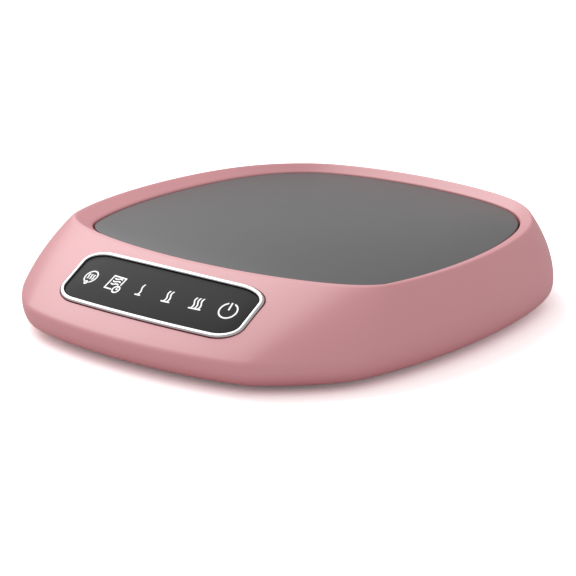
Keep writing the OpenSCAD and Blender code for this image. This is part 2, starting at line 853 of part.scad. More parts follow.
module switch_lever() color([0.78, 0.79, 0.81])
  difference() {
    union() {
      translate([hinge_x, switch_y - lever_w / 2, hinge_z]) facing_rear() rod(lever_barrel_d, lever_w);
      translate([hinge_x, switch_y - lever_w / 2, lever_z]) cube([lever_reach + 1.4, lever_w, lever_t]);
    }
    translate([hinge_x, switch_y - lever_w, hinge_z]) facing_rear() rod(hinge_pin_d + 0.16, 2 * lever_w);
  }

module switch_plunger() color([0.75, 0.20, 0.16]) {
  round_z = lever_z - 0.05 - button_w / 2;
  translate([button_x - button_w / 2, switch_y - 1.2, switch_top_z - 2.5])
    cube([button_w, 2.4, round_z - switch_top_z + 2.5]);
  translate([button_x, switch_y - 1.2, round_z]) facing_rear() rod(button_w, 2.4);
}

module switch_hinge_pin() color([0.80, 0.81, 0.83])
  translate([hinge_x, switch_y - lever_w / 2 - ear_gap - ear_t, hinge_z])
    facing_rear() rod(hinge_pin_d, lever_w + 2 * ear_gap + 2 * ear_t);

terminal_xs = [switch_x - 4.6, switch_x, switch_x + 4.6];

module switch_terminals() color([0.82, 0.68, 0.36])
  for (x = terminal_xs)
    translate([x - 0.9, switch_y - switch_w / 2 - 2.6, switch_z + 3.6])
      cube([1.8, 2.6, 0.5]);

module switch_screws() color([0.72, 0.73, 0.75])
  for (x = switch_hole_xs)
    translate([x, switch_y - switch_w / 2, switch_hole_z])
      facing_rear() pan_screw(small_screw_d, switch_w + switch_wall_t - 0.3, 3.2, 1);

// ---------------------------------------------------------- control panel

bezel_section = [
  [0, pocket_n], [0, bezel_proud - 0.35], [0.3, bezel_proud],
  [bezel_w - 0.35, bezel_proud], [bezel_w, bezel_proud - 0.3], [bezel_w, pocket_n]
];

// One ring of the frame: its shape drawn in by the inset, at a height out of the face
function bezel_ring(inset, n) =
  let(cols = panel_columns(inset), last = len(cols) - 1)
  concat(
    [for (c = cols) on_face(c[0], -c[2], n)],
    [for (i = [last:-1:0]) on_face(cols[i][0], cols[i][1], n)]
  );

module panel_bezel() color([0.86, 0.87, 0.89])
  ring_solid([for (point = bezel_section) bezel_ring(point[0], point[1])]);

module touch_panel() color([0.13, 0.13, 0.14])
  bent_slab(bezel_w + panel_gap, pocket_n, -panel_sunk);

key_count = 6;
key_pitch = (bezel_l - 2 * key_end) / (key_count - 1);
function key_x(k) = (k - (key_count - 1) / 2) * key_pitch;

module ring_2d(r) {
  difference() {
    circle(r = r, $fn = round_facets);
    circle(r = r - icon_line, $fn = round_facets);
  }
}

// A wavy stroke of the given length along +Y
module wave_2d(l, sway) {
  steps = 10;
  polygon(concat(
    [for (i = [0:steps]) [sway * sin(360 * i / steps) - icon_line / 2, l * i / steps]],
    [for (i = [steps:-1:0]) [sway * sin(360 * i / steps) + icon_line / 2, l * i / steps]]
  ));
}

module warm_icon() {
  difference() {
    ring_2d(2.4);
    translate([0, -2.3]) circle(r = 1, $fn = round_facets);
  }
  translate([0, -2.3]) ring_2d(0.7);
  for (x = [-1.05, 0, 1.05]) translate([x, -0.9]) wave_2d(1.9, 0.16);
}

module timer_icon() {
  clock = [2, -2];
  difference() {
    square(5.2, center = true);
    square(5.2 - 2 * icon_line, center = true);
    translate(clock) circle(r = 1.7, $fn = round_facets);
  }
  translate(clock) {
    ring_2d(1.4);
    translate([-icon_line / 3, -0.1]) square([icon_line / 1.5, 1.1]);
    translate([-0.1, -icon_line / 3]) square([0.8, icon_line / 1.5]);
  }
  for (y = [-0.4, 0.6, 1.6]) translate([-1.5, y]) rotate(-90) wave_2d(3, 0.22);
}

module level_icon(lines) {
  translate([-lines * 0.5 - 0.5, -2.2]) square([lines + 1, icon_line]);
  for (i = [0:lines - 1]) translate([(i - (lines - 1) / 2) * 1.15, -1.8]) wave_2d(3.8, 0.3);
}

module power_icon() {
  difference() {
    ring_2d(2.9);
    translate([-0.95, 1]) square([1.9, 3]);
  }
  translate([-icon_line / 2, 0.2]) square([icon_line, 2.7]);
}

icon_t = 0.1;

module key_icons() color([0.96, 0.96, 0.96])
  for (k = [0:key_count - 1])
    at_face(key_x(k), 0, -panel_sunk + 0.02)
      linear_extrude(icon_t) {
        if (k == 0) warm_icon();
        if (k == 1) timer_icon();
        if (k >= 2 && k <= 4) level_icon(k - 1);
        if (k == 5) power_icon();
      }

// Behind the bent panel the keys' row curves up the flat control board
function row_s(x) = bend(x) * cos(face_angle) - hang(x);

shield_top_n = -3.6;
shield_wall = 0.5;
cell = [key_spring_d + 0.8, 6.4];

module light_shield() color([0.09, 0.09, 0.10])
  at_panel(0, 0, board_top_n)
    difference() {
      linear_extrude(shield_top_n - board_top_n)
        let(
          corner = [cell[0] / 2 + shield_wall, cell[0] / 2 + shield_wall],
          cols = shape_columns(
            (key_count - 1) * key_pitch + cell[0] + 2 * shield_wall,
            cell[1] + 2 * shield_wall,
            corner,
            corner,
            0
          ),
          last = len(cols) - 1
        )
        polygon(concat(
          [for (c = cols) [c[0], row_s(c[0]) - c[2]]],
          [for (i = [last:-1:0]) [cols[i][0], row_s(cols[i][0]) + cols[i][1]]]
        ));
      for (k = [0:key_count - 1])
        translate([key_x(k), row_s(key_x(k)), -over]) {
          translate([-cell[0] / 2, (cell[0] - cell[1]) / 2, 0])
            cube([cell[0], cell[1] - cell[0], board_depth]);
          for (side = [-1, 1])
            translate([0, side * (cell[1] - cell[0]) / 2, 0]) rod(cell[0], board_depth);
        }
    }

module control_board() color([0.10, 0.34, 0.20])
  at_panel(0, 0, board_back_n)
    difference() {
      translate([-control_board_l / 2, -control_board_h / 2, 0])
        cube([control_board_l, control_board_h, pcb_t]);
      for (side = [-1, 1])
        translate([side * control_screw_x, 0, -over]) rod(small_screw_d + screw_clear, pcb_t + 2 * over);
    }

// Where the touch panel's back lies over x, measured out of the panel's middle plane
function panel_back_n(x) = pocket_n - bend(x) * sin(face_angle);

key_spring_s = (cell[0] - cell[1]) / 2;
led = [1.6, 1.4, 0.8];

module key_springs() color([0.80, 0.68, 0.40])
  for (k = [0:key_count - 1])
    at_panel(key_x(k), row_s(key_x(k)) + key_spring_s, board_top_n)
      rod(key_spring_d, panel_back_n(abs(key_x(k)) + key_spring_d / 2) - board_top_n - 0.1);

module indicator_leds() color([0.95, 0.95, 0.88])
  for (k = [0:key_count - 1])
    at_panel(key_x(k) - led[0] / 2, row_s(key_x(k)) + cell[1] / 2 - led[1] - 0.5, board_top_n)
      cube(led);

// A chip with pins down both long sides, centred, lying on z = 0
module chip(l, w, h, pins) {
  translate([-l / 2, -w / 2, 0.15]) cube([l, w, h]);
  for (i = [0:pins - 1], side = [-1, 1])
    translate([(i - (pins - 1) / 2) * l / pins - 0.2, side * (w / 2 + 0.35) - 0.5, 0])
      cube([0.4, 1, 0.4]);
}

module touch_chip() color([0.14, 0.14, 0.15])
  at_panel(key_x(0) + 6, 0, board_back_n) rotate([180, 0, 0]) chip(10, 4, 1.4, 8);

module control_board_screws() color([0.72, 0.73, 0.75])
  for (side = [-1, 1])
    at_panel(side * control_screw_x, 0, board_back_n)
      pan_screw(small_screw_d, pcb_t + 2.6, 3.2, 1);

// ------------------------------------------------------------- main board

module main_board() color([0.10, 0.34, 0.20])
  difference() {
    translate([-main_board_w / 2, board_middle_y - main_board_d / 2, board_z])
      cube([main_board_w, main_board_d, pcb_t]);
    for (p = board_screw_places)
      translate([p[0], p[1], board_z - over]) rod(small_screw_d + screw_clear, pcb_t + 2 * over);
  }

module main_board_screws() color([0.72, 0.73, 0.75])
  for (p = board_screw_places)
    translate([p[0], p[1], board_top_z])
      rotate([180, 0, 0]) pan_screw(small_screw_d, pcb_t + board_standoff - 0.2, 3.2, 1);

module microcontroller() color([0.14, 0.14, 0.15])
  translate([-2, board_middle_y - 4, board_top_z]) chip(12, 5.2, 1.6, 10);

module power_transistor() color([0.16, 0.16, 0.17])
  translate([10 - main_board_w / 2, board_middle_y - 5, board_top_z]) {
    translate([-3.3, -3, 0]) cube([6.6, 6, 2.3]);
    translate([-2.7, 3 - bore_fit, 0]) cube([5.4, 2.6, 0.6]);
    for (x = [-2.3, 2.3]) translate([x - 0.4, -5.6, 0]) cube([0.8, 2.6 + bore_fit, 0.5]);
  }

module filter_capacitors() color([0.78, 0.79, 0.82])
  for (x = [18, 10])
    translate([main_board_w / 2 - x, board_middle_y - 5, board_top_z]) {
      translate([-3.4, -3.4, 0]) cube([6.8, 6.8, 0.8]);
      rod(6.3, 4.2);
    }

module buzzer() color([0.10, 0.10, 0.11])
  translate([0, 2.5, board_top_z])
    difference() {
      rod(9, 3.6);
      translate([0, 0, 1.8]) rod(2, 3);
    }

dc_port = [-20.5, -3];
switch_port = [20, 0];
ribbon_port_y = board_middle_y - main_board_d / 2 + 3.5;
ribbon_w = 12;
ribbon_t = 0.4;
control_plug = [14, 4, 2.2];

module connector(p, l, w) {
  translate([p[0] - l / 2, p[1] - w / 2, board_top_z]) cube([l, w, connector_h]);
}

module wire_connectors() color([0.93, 0.91, 0.84]) {
  connector(heater_port, 6, 3.6);
  connector(sensor_port, 5, 3.6);
  connector(dc_port, 4.6, 6);
  connector(switch_port, 5, 4);
  connector([0, ribbon_port_y], control_plug[0], control_plug[1]);
  at_panel(0, 2, board_back_n - control_plug[2])
    translate([-control_plug[0] / 2, -control_plug[1] / 2, 0]) cube(control_plug);
}

// The ribbon runs in the Y-Z plane, from the control board down to the main board
ribbon_start =
  let(p = panel_middle + 2 * up_slope + (board_back_n - control_plug[2]) * out_of_face)
  [p[1], p[2]];
ribbon_end = [ribbon_port_y - control_plug[1] / 2, board_top_z + connector_h / 2];

ribbon_leave = 4 * [sin(face_angle), -cos(face_angle)];
ribbon_mid = (ribbon_start + ribbon_end) / 2 - [0, 1.5];
ribbon_line = concat(
  [ribbon_start, ribbon_start + ribbon_leave / 10],
  curve_steps(ribbon_start + ribbon_leave / 10, ribbon_start + ribbon_leave, ribbon_mid, 8),
  curve_steps(ribbon_mid, 2 * ribbon_mid - ribbon_start - ribbon_leave, ribbon_end - [2, 0], 8),
  [ribbon_end]
);
ribbon_last = len(ribbon_line) - 1;

// Half the ribbon's thickness, square to its line at point i
function ribbon_side(i) =
  let(d = ribbon_line[min(i + 1, ribbon_last)] - ribbon_line[max(i - 1, 0)])
  [-d[1], d[0]] / norm(d) * ribbon_t / 2;

module panel_ribbon() color([0.85, 0.85, 0.83])
  translate([-ribbon_w / 2, 0, 0])
    rotate([90, 0, 90])
      linear_extrude(ribbon_w)
        polygon(concat(
          [for (i = [0:ribbon_last]) ribbon_line[i] + ribbon_side(i)],
          [for (i = [ribbon_last:-1:0]) ribbon_line[i] - ribbon_side(i)]
        ));

// ------------------------------------------------------------ power inlet

module dc_socket() color([0.10, 0.10, 0.11])
  difference() {
    union() {
      translate([0, inlet_end_y, inlet_z]) facing_rear() rod(inlet_d, inlet_front_y - inlet_end_y);
      translate([0, inlet_face_y, inlet_z]) facing_rear() rod(inlet_flange_d, inlet_flange_t);
    }
    translate([0, inlet_front_y - inlet_depth, inlet_z]) facing_rear() rod(inlet_bore, inlet_depth + over);
  }

module dc_socket_pin() color([0.84, 0.80, 0.66])
  translate([0, inlet_front_y - inlet_depth, inlet_z])
    facing_rear() {
      rod(inlet_pin, inlet_depth - 1.6);
      translate([0, 0, inlet_depth - 1.6])
        cylinder(d1 = inlet_pin, d2 = inlet_pin * 0.6, h = 0.5, $fn = round_facets);
    }

module socket_nut() color([0.74, 0.75, 0.77])
  translate([0, inlet_pad_y - nut_t, inlet_z])
    facing_rear()
      difference() {
        cylinder(d = nut_flats / cos(30), h = nut_t, $fn = 6);
        translate([0, 0, -over]) rod(inlet_d + 2 * bore_fit, nut_t + 2 * over);
      }

lug_l = 3;
lug_xs = [-2, 2];

module socket_lugs() color([0.84, 0.80, 0.66])
  for (x = lug_xs)
    translate([x - 0.6, inlet_end_y - lug_l, inlet_z - 0.3]) cube([1.2, lug_l, 0.6]);

// ---------------------------------------------------------------- wiring

wire_d = 1.2;

// A wire that runs towards -Y from one point to another, dipping in between
module wire(from, to, dip) {
  start = from - [0, wire_d, 0];
  end = to + [0, wire_d, 0];
  low = min(from[2], to[2]) - dip;
  tube(
    concat(
      [from],
      [
        for (i = [0:10])
          let(t = i / 10, ease = t * t * (3 - 2 * t), hang = sin(180 * t))
          [
            start[0] + (end[0] - start[0]) * ease,
            start[1] + (end[1] - start[1]) * t,
            (start[2] + (end[2] - start[2]) * ease) * (1 - hang) + low * hang
          ]
      ],
      [to]
    ),
    wire_d
  );
}

module dc_leads() color([0.70, 0.12, 0.10])
  for (i = [0, 1])
    wire(
      [lug_xs[i], inlet_end_y - lug_l, inlet_z],
      [dc_port[0] - 1.1 + 2.2 * i, dc_port[1] + 3, board_top_z + connector_h / 2],
      0.6
    );

module switch_leads() color([0.15, 0.30, 0.62])
  for (i = [0, 1])
    wire(
      [terminal_xs[i + 1], switch_y - switch_w / 2 - 2.6, switch_z + 3.85],
      [switch_port[0] - 1.2 + 2.4 * i, switch_port[1] + 2, board_top_z + connector_h / 2],
      0.1
    );

// Wires that stand on the board's connectors and end under the moving plate
module riser_pair(p, top_z, spread) {
  for (side = [-1, 1])
    translate([p[0] + side * spread, p[1], connector_top_z]) rod(wire_d, top_z - connector_top_z);
}

module heater_leads() color([0.90, 0.88, 0.82])
  riser_pair(heater_port, heater_z - 0.5, 1.2);

module sensor_leads() color([0.20, 0.20, 0.20])
  riser_pair(sensor_port, heater_z - 2.2, 0.8);

// ----------------------------------------------------------------- output

upper_housing();
base_cover();
rubber_feet();
base_screws();
plate_glass();
plate_gasket();
heat_spreader();
heating_element();
insulation_pad();
plate_carrier();
spreader_screws();
thermistor();
thermal_fuse();
fuse_clamp();
clamp_screws();
plate_springs();
switch_case();
switch_lever();
switch_plunger();
switch_hinge_pin();
switch_terminals();
switch_screws();
panel_bezel();
touch_panel();
key_icons();
light_shield();
control_board();
key_springs();
indicator_leds();
touch_chip();
control_board_screws();
main_board();
main_board_screws();
microcontroller();
power_transistor();
filter_capacitors();
buzzer();
wire_connectors();
panel_ribbon();
dc_socket();
dc_socket_pin();
socket_nut();
socket_lugs();
dc_leads();
heater_leads();
sensor_leads();
switch_leads();
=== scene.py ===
# %% [markdown]
# # Dressing an electric mug warmer
# The part is a low, rounded casing with a sunk glass hot plate and a sloping touch
# panel. Its construction comes packed from CAD and is loaded here as a fixed frame.
# This script adds what the camera sees: smooth shells for the pieces that the CAD
# model holds in flat facets, and a finish for every surface. All sizes are in metres,
# with +Z up, -Y towards the control panel and +Y towards the power inlet.

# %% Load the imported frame
import json
import math

import bmesh
import bpy
from mathutils import Matrix, Vector


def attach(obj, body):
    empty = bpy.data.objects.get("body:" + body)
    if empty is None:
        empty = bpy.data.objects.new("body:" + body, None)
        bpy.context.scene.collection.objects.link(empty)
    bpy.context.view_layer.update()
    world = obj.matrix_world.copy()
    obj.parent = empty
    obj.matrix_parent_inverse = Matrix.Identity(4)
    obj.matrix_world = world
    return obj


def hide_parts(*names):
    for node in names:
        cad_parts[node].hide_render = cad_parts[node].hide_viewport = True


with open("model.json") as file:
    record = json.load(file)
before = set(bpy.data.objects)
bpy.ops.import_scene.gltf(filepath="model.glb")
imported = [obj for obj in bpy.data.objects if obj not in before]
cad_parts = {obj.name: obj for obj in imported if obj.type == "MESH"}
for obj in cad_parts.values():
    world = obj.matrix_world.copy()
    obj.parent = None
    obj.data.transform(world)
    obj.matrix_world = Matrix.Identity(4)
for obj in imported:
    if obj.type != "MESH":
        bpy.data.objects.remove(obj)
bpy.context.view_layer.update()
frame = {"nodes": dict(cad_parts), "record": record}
mm = 0.001
weld_distance = 1e-6

# %% [markdown]
# The casing's plan is an egg-like square. It could be drawn as a curve by hand, but
# then no two heights would agree. Instead each outline is given by its reach, which is
# how far its edge lies from the origin in each direction, as a short sum of waves. The
# base, the crest and the recess that the plate lies in have one outline each, and every
# height between two of them is a blend of both.

# %% Outlines of the base, the crest and the recess
def waves(side, front, rear, fullness, taper, softness):
    """The six wave heights of an outline, from its reach to each side."""
    lengthwise = (front + rear) / 2
    mean = (side + lengthwise) / 2
    return [
        mean + fullness / 2 + softness,
        (rear - front) / 2 - taper,
        (side - lengthwise) / 2,
        -taper,
        -fullness / 2,
        -softness,
    ]


OUTLINES = {
    "Base": {
        "side": 68 * mm, "front": 75 * mm, "rear": 75 * mm,
        "fullness": 7.1 * mm, "taper": 0.1 * mm, "softness": 0.85 * mm,
    },
    "Crest": {
        "side": 62.7 * mm, "front": 46.8 * mm, "rear": 69.6 * mm,
        "fullness": 6.9 * mm, "taper": 2.4 * mm, "softness": 0.35 * mm,
    },
    "Recess": {
        "side": 57 * mm, "front": 43.6 * mm, "rear": 66.5 * mm,
        "fullness": 7.2 * mm, "taper": 1.6 * mm, "softness": 0.3 * mm,
    },
}
base_waves, crest_waves, recess_waves = (waves(**sizes) for sizes in OUTLINES.values())


def reach(w, a):
    """How far an outline lies from the origin, square to its edge, towards angle a."""
    return (
        w[0] + w[1] * math.sin(a) + w[2] * math.cos(2 * a) + w[3] * math.sin(3 * a)
        + w[4] * math.cos(4 * a) + w[5] * math.cos(8 * a)
    )


def reach_slope(w, a):
    """How fast the reach changes with the angle."""
    return (
        w[1] * math.cos(a) - 2 * w[2] * math.sin(2 * a) + 3 * w[3] * math.cos(3 * a)
        - 4 * w[4] * math.sin(4 * a) - 8 * w[5] * math.sin(8 * a)
    )


def outline_point(w, inset, a):
    """The point of an outline, drawn in by the inset, whose edge faces angle a."""
    h = reach(w, a) - inset
    d = reach_slope(w, a)
    return h * math.cos(a) - d * math.sin(a), h * math.sin(a) + d * math.cos(a)


print("Base outline reaches", [round(v / mm, 1) for v in base_waves], "mm in waves")

# %% [markdown]
# Heights come from the stack of pieces: cover, room for the electronics, the plate's
# travel, and the plate's own layers. The recess's edge lies just above the glass, and
# the crest round it is the casing's highest line.

# %% Heights and insets
underside_z = 1.6 * mm
floor_z = 3.6 * mm
belt_z = 9.0 * mm
pressed_z = 13.0 * mm
skirt_z = 14.7 * mm
glass_z = 20.0 * mm
glass_top_z = 23.0 * mm
lip_z = 23.2 * mm
crest_z = 25.6 * mm
undercut = 7.1 * mm
belt_round = 1 * mm
wall_bulge = 1.4 * mm
lip_round = 0.4 * mm
plate_gap = 0.6 * mm
wall = 2 * mm
skirt_t = 1.6 * mm
print("Casing stands", round(crest_z / mm, 1), "mm high at its crest, before rounding")

# %% [markdown]
# Node trees get long when every sum is three lines of node-making. One small class
# wraps a socket and overloads the arithmetic, so that shader and geometry maths can be
# written as plain expressions. Any other node comes from one method that takes its
# type, its settings and its sockets' values.

# %% A socket that can be used in sums
def feed(tree, item, socket):
    """Links a wrapped socket to an input, or writes a plain value on it."""
    if isinstance(item, Value):
        tree.links.new(item.socket, socket)
    else:
        socket.default_value = item


class Value:
    """A node's output that can be added, multiplied and so on."""

    def __init__(self, tree, socket):
        self.tree = tree
        self.socket = socket

    def sum_of(self, operation, *items):
        node = self.tree.nodes.new("ShaderNodeMath")
        node.operation = operation
        for item, socket in zip(items, node.inputs):
            feed(self.tree, item, socket)
        return Value(self.tree, node.outputs[0])

    def __add__(self, other):
        return self.sum_of("ADD", self, other)

    def __radd__(self, other):
        return self.sum_of("ADD", other, self)

    def __sub__(self, other):
        return self.sum_of("SUBTRACT", self, other)

    def __rsub__(self, other):
        return self.sum_of("SUBTRACT", other, self)

    def __mul__(self, other):
        return self.sum_of("MULTIPLY", self, other)

    def __rmul__(self, other):
        return self.sum_of("MULTIPLY", other, self)

    def least(self, other):
        return self.sum_of("MINIMUM", self, other)

    def most(self, other):
        return self.sum_of("MAXIMUM", self, other)

    def sine(self):
        return self.sum_of("SINE", self)

    def cosine(self):
        return self.sum_of("COSINE", self)

    def rounded(self):
        return self.sum_of("ROUND", self)


class Tree:
    """A node tree with one way to add a node."""

    def __init__(self, tree):
        self.tree = tree
        self.tree.nodes.clear()

    def node(self, kind, settings=None, sockets=None, output=0):
        """Adds a node: settings first, then its sockets, and gives one of its outputs."""
        node = self.tree.nodes.new(kind)
        for name, value in (settings or {}).items():
            setattr(node, name, value)
        for name, item in (sockets or {}).items():
            feed(self.tree, item, node.inputs[name])
        return Value(self.tree, node.outputs[output]) if output is not None else node


print("Helpers ready:", Value.__name__, Tree.__name__)

# %% [markdown]
# The casing is moulded in one piece: its wall, crest, inner band and skirt are one
# shell. A sculpted box would never keep its curves this clean, so the shell is a sweep.
# A short chain of stations gives its cross-section. A station says which outline it
# uses (0 the base, 1 the crest, 2 the recess, or a blend between), how far it is drawn
# in, and its height. A Geometry Nodes tree then carries the chain round the outlines.

# %% Stations of the casing's cross-section
def mix3(a, b, t):
    return tuple(p + (q - p) * t for p, q in zip(a, b))


def curve(a, b, c, steps):
    """Points of a quadratic curve from a (left out) to c, pulled towards b."""
    return [
        mix3(mix3(a, b, i / steps), mix3(b, c, i / steps), i / steps) for i in range(1, steps + 1)
    ]


def line(a, b, steps):
    return [mix3(a, b, i / steps) for i in range(1, steps + 1)]


def outer_wall(w):
    """The sloping wall: w runs from the belt (0) to the crest (1)."""
    return w, -4 * w * (1 - w) * wall_bulge, belt_z + w * (crest_z - belt_z)


def inner_wall(w):
    share, inset, height = outer_wall(w)
    return share, inset + 0.65 * wall, height - 0.85 * wall


def band(w):
    """The band inside the crest: w runs from the crest (0) to the recess (1)."""
    return 1 + w, 0, crest_z - w * (crest_z - lip_z)


wall_low, wall_high, band_low = 0.05, 0.96, 0.2
wall_steps = 12
wall_shares = [wall_low + (wall_high - wall_low) * i / wall_steps for i in range(wall_steps + 1)]
lip_start = (2, -lip_round, lip_z + 0.6 * lip_round)
lip_end = (2, 0, lip_z - lip_round)
under_start = (0, undercut, underside_z)
belt_start = (0, 0, belt_z - belt_round)
inner_belt = (0, 1.1 * wall, belt_z - 0.4 * wall)

stations = [under_start]
stations += curve(under_start, (0, 0, underside_z), belt_start, 18)
stations += curve(belt_start, (0, 0, belt_z), outer_wall(wall_low), 8)
stations += [outer_wall(w) for w in wall_shares[1:]]
stations += curve(outer_wall(wall_high), band(0), band(band_low), 16)
stations += line(band(band_low), lip_start, 6)
stations += curve(lip_start, (2, 0, lip_z), lip_end, 5)
stations += line(lip_end, (2, 0, skirt_z), 4)
stations += [(2, -skirt_t, skirt_z), (2, -skirt_t, lip_z - 0.75 * wall)]
stations += [inner_wall(w) for w in reversed(wall_shares[2:])]
stations += [inner_belt]
stations += curve(inner_belt, (0, 1.1 * wall, floor_z), (0, undercut, floor_z), 4)
stations += [under_start]
print("Casing stations:", len(stations))

# %% [markdown]
# The tree makes a flat grid with one row for each station and one column for each
# angle, looks up the station's numbers, works out the outline's reach there and moves
# each point of the grid to its place. Merging by distance closes the seam.

# %% A tree that sweeps stations round the outlines
def outline_inputs(name):
    return [f"{name} {size}" for size in OUTLINES[name]]


def add_sweep_maths(given, share, angle):
    """The blended reach, and its slope, towards an angle, as wrapped sockets."""
    upwards = share.least(1.0)
    inwards = share.most(1.0) - 1.0
    blended = [
        base + (crest - base) * upwards + (recess - crest) * inwards
        for base, crest, recess in zip(*(tree_waves(given, name) for name in OUTLINES))
    ]
    c0, c1, c2, c3, c4, c8 = blended
    distance = (
        c0 + c1 * angle.sine() + c2 * (angle * 2).cosine() + c3 * (angle * 3).sine()
        + c4 * (angle * 4).cosine() + c8 * (angle * 8).cosine()
    )
    slope = (
        c1 * angle.cosine() - c2 * 2 * (angle * 2).sine() + c3 * 3 * (angle * 3).cosine()
        - c4 * 4 * (angle * 4).sine() - c8 * 8 * (angle * 8).sine()
    )
    return distance, slope


def tree_waves(given, name):
    side, front, rear, fullness, taper, softness = (given[n] for n in outline_inputs(name))
    lengthwise = (front + rear) * 0.5
    mean = (side + lengthwise) * 0.5
    return [
        mean + fullness * 0.5 + softness,
        (rear - front) * 0.5 - taper,
        (side - lengthwise) * 0.5,
        0 - taper,
        0 - fullness * 0.5,
        0 - softness,
    ]


def sweep_tree():
    group = bpy.data.node_groups.new("SweepRoundOutlines", "GeometryNodeTree")
    face = group.interface
    face.new_socket("Stations", in_out="INPUT", socket_type="NodeSocketGeometry")
    face.new_socket("Columns", in_out="INPUT", socket_type="NodeSocketInt")
    for outline in OUTLINES:
        for name in outline_inputs(outline):
            face.new_socket(name, in_out="INPUT", socket_type="NodeSocketFloat")
    face.new_socket("Finish", in_out="INPUT", socket_type="NodeSocketMaterial")
    face.new_socket("Shell", in_out="OUTPUT", socket_type="NodeSocketGeometry")
    tree = Tree(group)
    entry = tree.node("NodeGroupInput", output=None)
    given = {s.name: Value(group, s) for s in entry.outputs if s.name}
    rows = tree.node("GeometryNodeAttributeDomainSize", {"component": "MESH"},
                     {"Geometry": given["Stations"]}, "Point Count")
    columns = given["Columns"]
    grid = tree.node("GeometryNodeMeshGrid", {}, {
        "Size X": 1.0, "Size Y": 1.0, "Vertices X": rows, "Vertices Y": columns + 1}, "Mesh")
    place = tree.node("GeometryNodeInputPosition", output="Position")
    split = tree.node("ShaderNodeSeparateXYZ", {}, {"Vector": place}, None)
    row = ((Value(group, split.outputs["X"]) + 0.5) * (rows - 1)).rounded()
    angle = (Value(group, split.outputs["Y"]) + 0.5) * math.tau
    station = tree.node("GeometryNodeSampleIndex", {"data_type": "FLOAT_VECTOR"}, {
        "Geometry": given["Stations"], "Value": place, "Index": row}, "Value")
    parts = tree.node("ShaderNodeSeparateXYZ", {}, {"Vector": station}, None)
    share, inset, height = (Value(group, s) for s in parts.outputs)
    distance, slope = add_sweep_maths(given, share, angle)
    held = distance - inset
    x = held * angle.cosine() - slope * angle.sine()
    y = held * angle.sine() + slope * angle.cosine()
    target = tree.node("ShaderNodeCombineXYZ", {}, {"X": x, "Y": y, "Z": height}, "Vector")
    moved = tree.node("GeometryNodeSetPosition", {}, {
        "Geometry": grid, "Position": target}, "Geometry")
    closed = tree.node("GeometryNodeMergeByDistance", {}, {
        "Geometry": moved, "Distance": weld_distance}, "Geometry")
    smooth = tree.node("GeometryNodeSetShadeSmooth", {}, {"Geometry": closed}, "Geometry")
    real = tree.node("GeometryNodeRealizeInstances", {}, {"Geometry": smooth}, "Geometry")
    done = tree.node("GeometryNodeSetMaterial", {}, {
        "Geometry": real, "Material": given["Finish"]}, "Geometry")
    leave = tree.node("NodeGroupOutput", output=None)
    group.links.new(done.socket, leave.inputs["Shell"])
    return group


sweep = sweep_tree()
print("Sweep tree has", len(sweep.nodes), "nodes")


# %% Turning a tree's result into a plain mesh
def grown_mesh(name, tree, seed_mesh, inputs):
    """Runs a geometry tree on a seed mesh and gives the result as a plain mesh."""
    seed = bpy.data.objects.new(name + "_seed", seed_mesh)
    bpy.context.scene.collection.objects.link(seed)
    modifier = seed.modifiers.new("Grow", "NODES")
    modifier.node_group = tree
    for item in tree.interface.items_tree:
        if item.item_type == "SOCKET" and item.in_out == "INPUT" and item.name in inputs:
            modifier[item.identifier] = inputs[item.name]
    seed.data.update()
    graph = bpy.context.evaluated_depsgraph_get()
    mesh = bpy.data.meshes.new_from_object(seed.evaluated_get(graph))
    mesh.name = name
    seed.modifiers.clear()
    bpy.data.objects.remove(seed)
    return mesh


def point_chain(name, points):
    mesh = bpy.data.meshes.new(name)
    mesh.from_pydata([tuple(p) for p in points], [(i, i + 1) for i in range(len(points) - 1)], [])
    return mesh


# %% [markdown]
# Finishes come next, one function for each kind of surface. Mould grain, mottling and
# wear all read Object coordinates, so they keep their real size on every piece and stay
# where they are when a piece moves.

# %% A finish from a few plain choices
def new_finish(name, base, roughness, uniform=None, grain=None):
    """A Principled finish. base and roughness are plain values or wrapped sockets."""
    material = bpy.data.materials.new(name)
    material.use_nodes = True
    tree = Tree(material.node_tree)
    shader = tree.node("ShaderNodeBsdfPrincipled", output=None)
    base, roughness, bump = (f(tree) if callable(f) else f for f in (base, roughness, grain))
    feed(tree.tree, base, shader.inputs["Base Color"])
    feed(tree.tree, roughness, shader.inputs["Roughness"])
    for socket, value in (uniform or {}).items():
        shader.inputs[socket].default_value = value
    if bump is not None:
        height, strength, depth = bump
        lift = tree.node("ShaderNodeBump", {}, {
            "Height": height, "Strength": strength, "Distance": depth}, "Normal")
        feed(tree.tree, lift, shader.inputs["Normal"])
    leave = tree.node("ShaderNodeOutputMaterial", output=None)
    tree.tree.links.new(shader.outputs["BSDF"], leave.inputs["Surface"])
    return material


def coordinates(tree):
    return tree.node("ShaderNodeTexCoord", output="Object")


def noise(tree, size, detail=2.0, stretch=(1, 1, 1)):
    """Soft noise from 0 to 1 whose lumps measure about size metres."""
    where = tree.node("ShaderNodeMapping", {}, {
        "Vector": coordinates(tree), "Scale": stretch}, "Vector")
    return tree.node("ShaderNodeTexNoise", {}, {
        "Vector": where, "Scale": 1 / size, "Detail": detail, "Roughness": 0.55}, "Fac")


def shade_mix(tree, factor, dark, light):
    """A colour between two, by a factor."""
    return tree.node("ShaderNodeMix", {"data_type": "RGBA"}, {0: factor, 6: dark, 7: light}, 2)


def tone(colour, gain):
    return tuple(min(1.0, c * gain) for c in colour[:3]) + (1.0,)


def mottled(colour, size, spread):
    """A base colour that drifts a little lighter and darker."""
    dark, light = tone(colour, 1 - spread), tone(colour, 1 + spread)
    return lambda tree: shade_mix(tree, noise(tree, size), dark, light)


def rough_between(low, high_value, size):
    return lambda tree: noise(tree, size, 4.0) * (high_value - low) + low


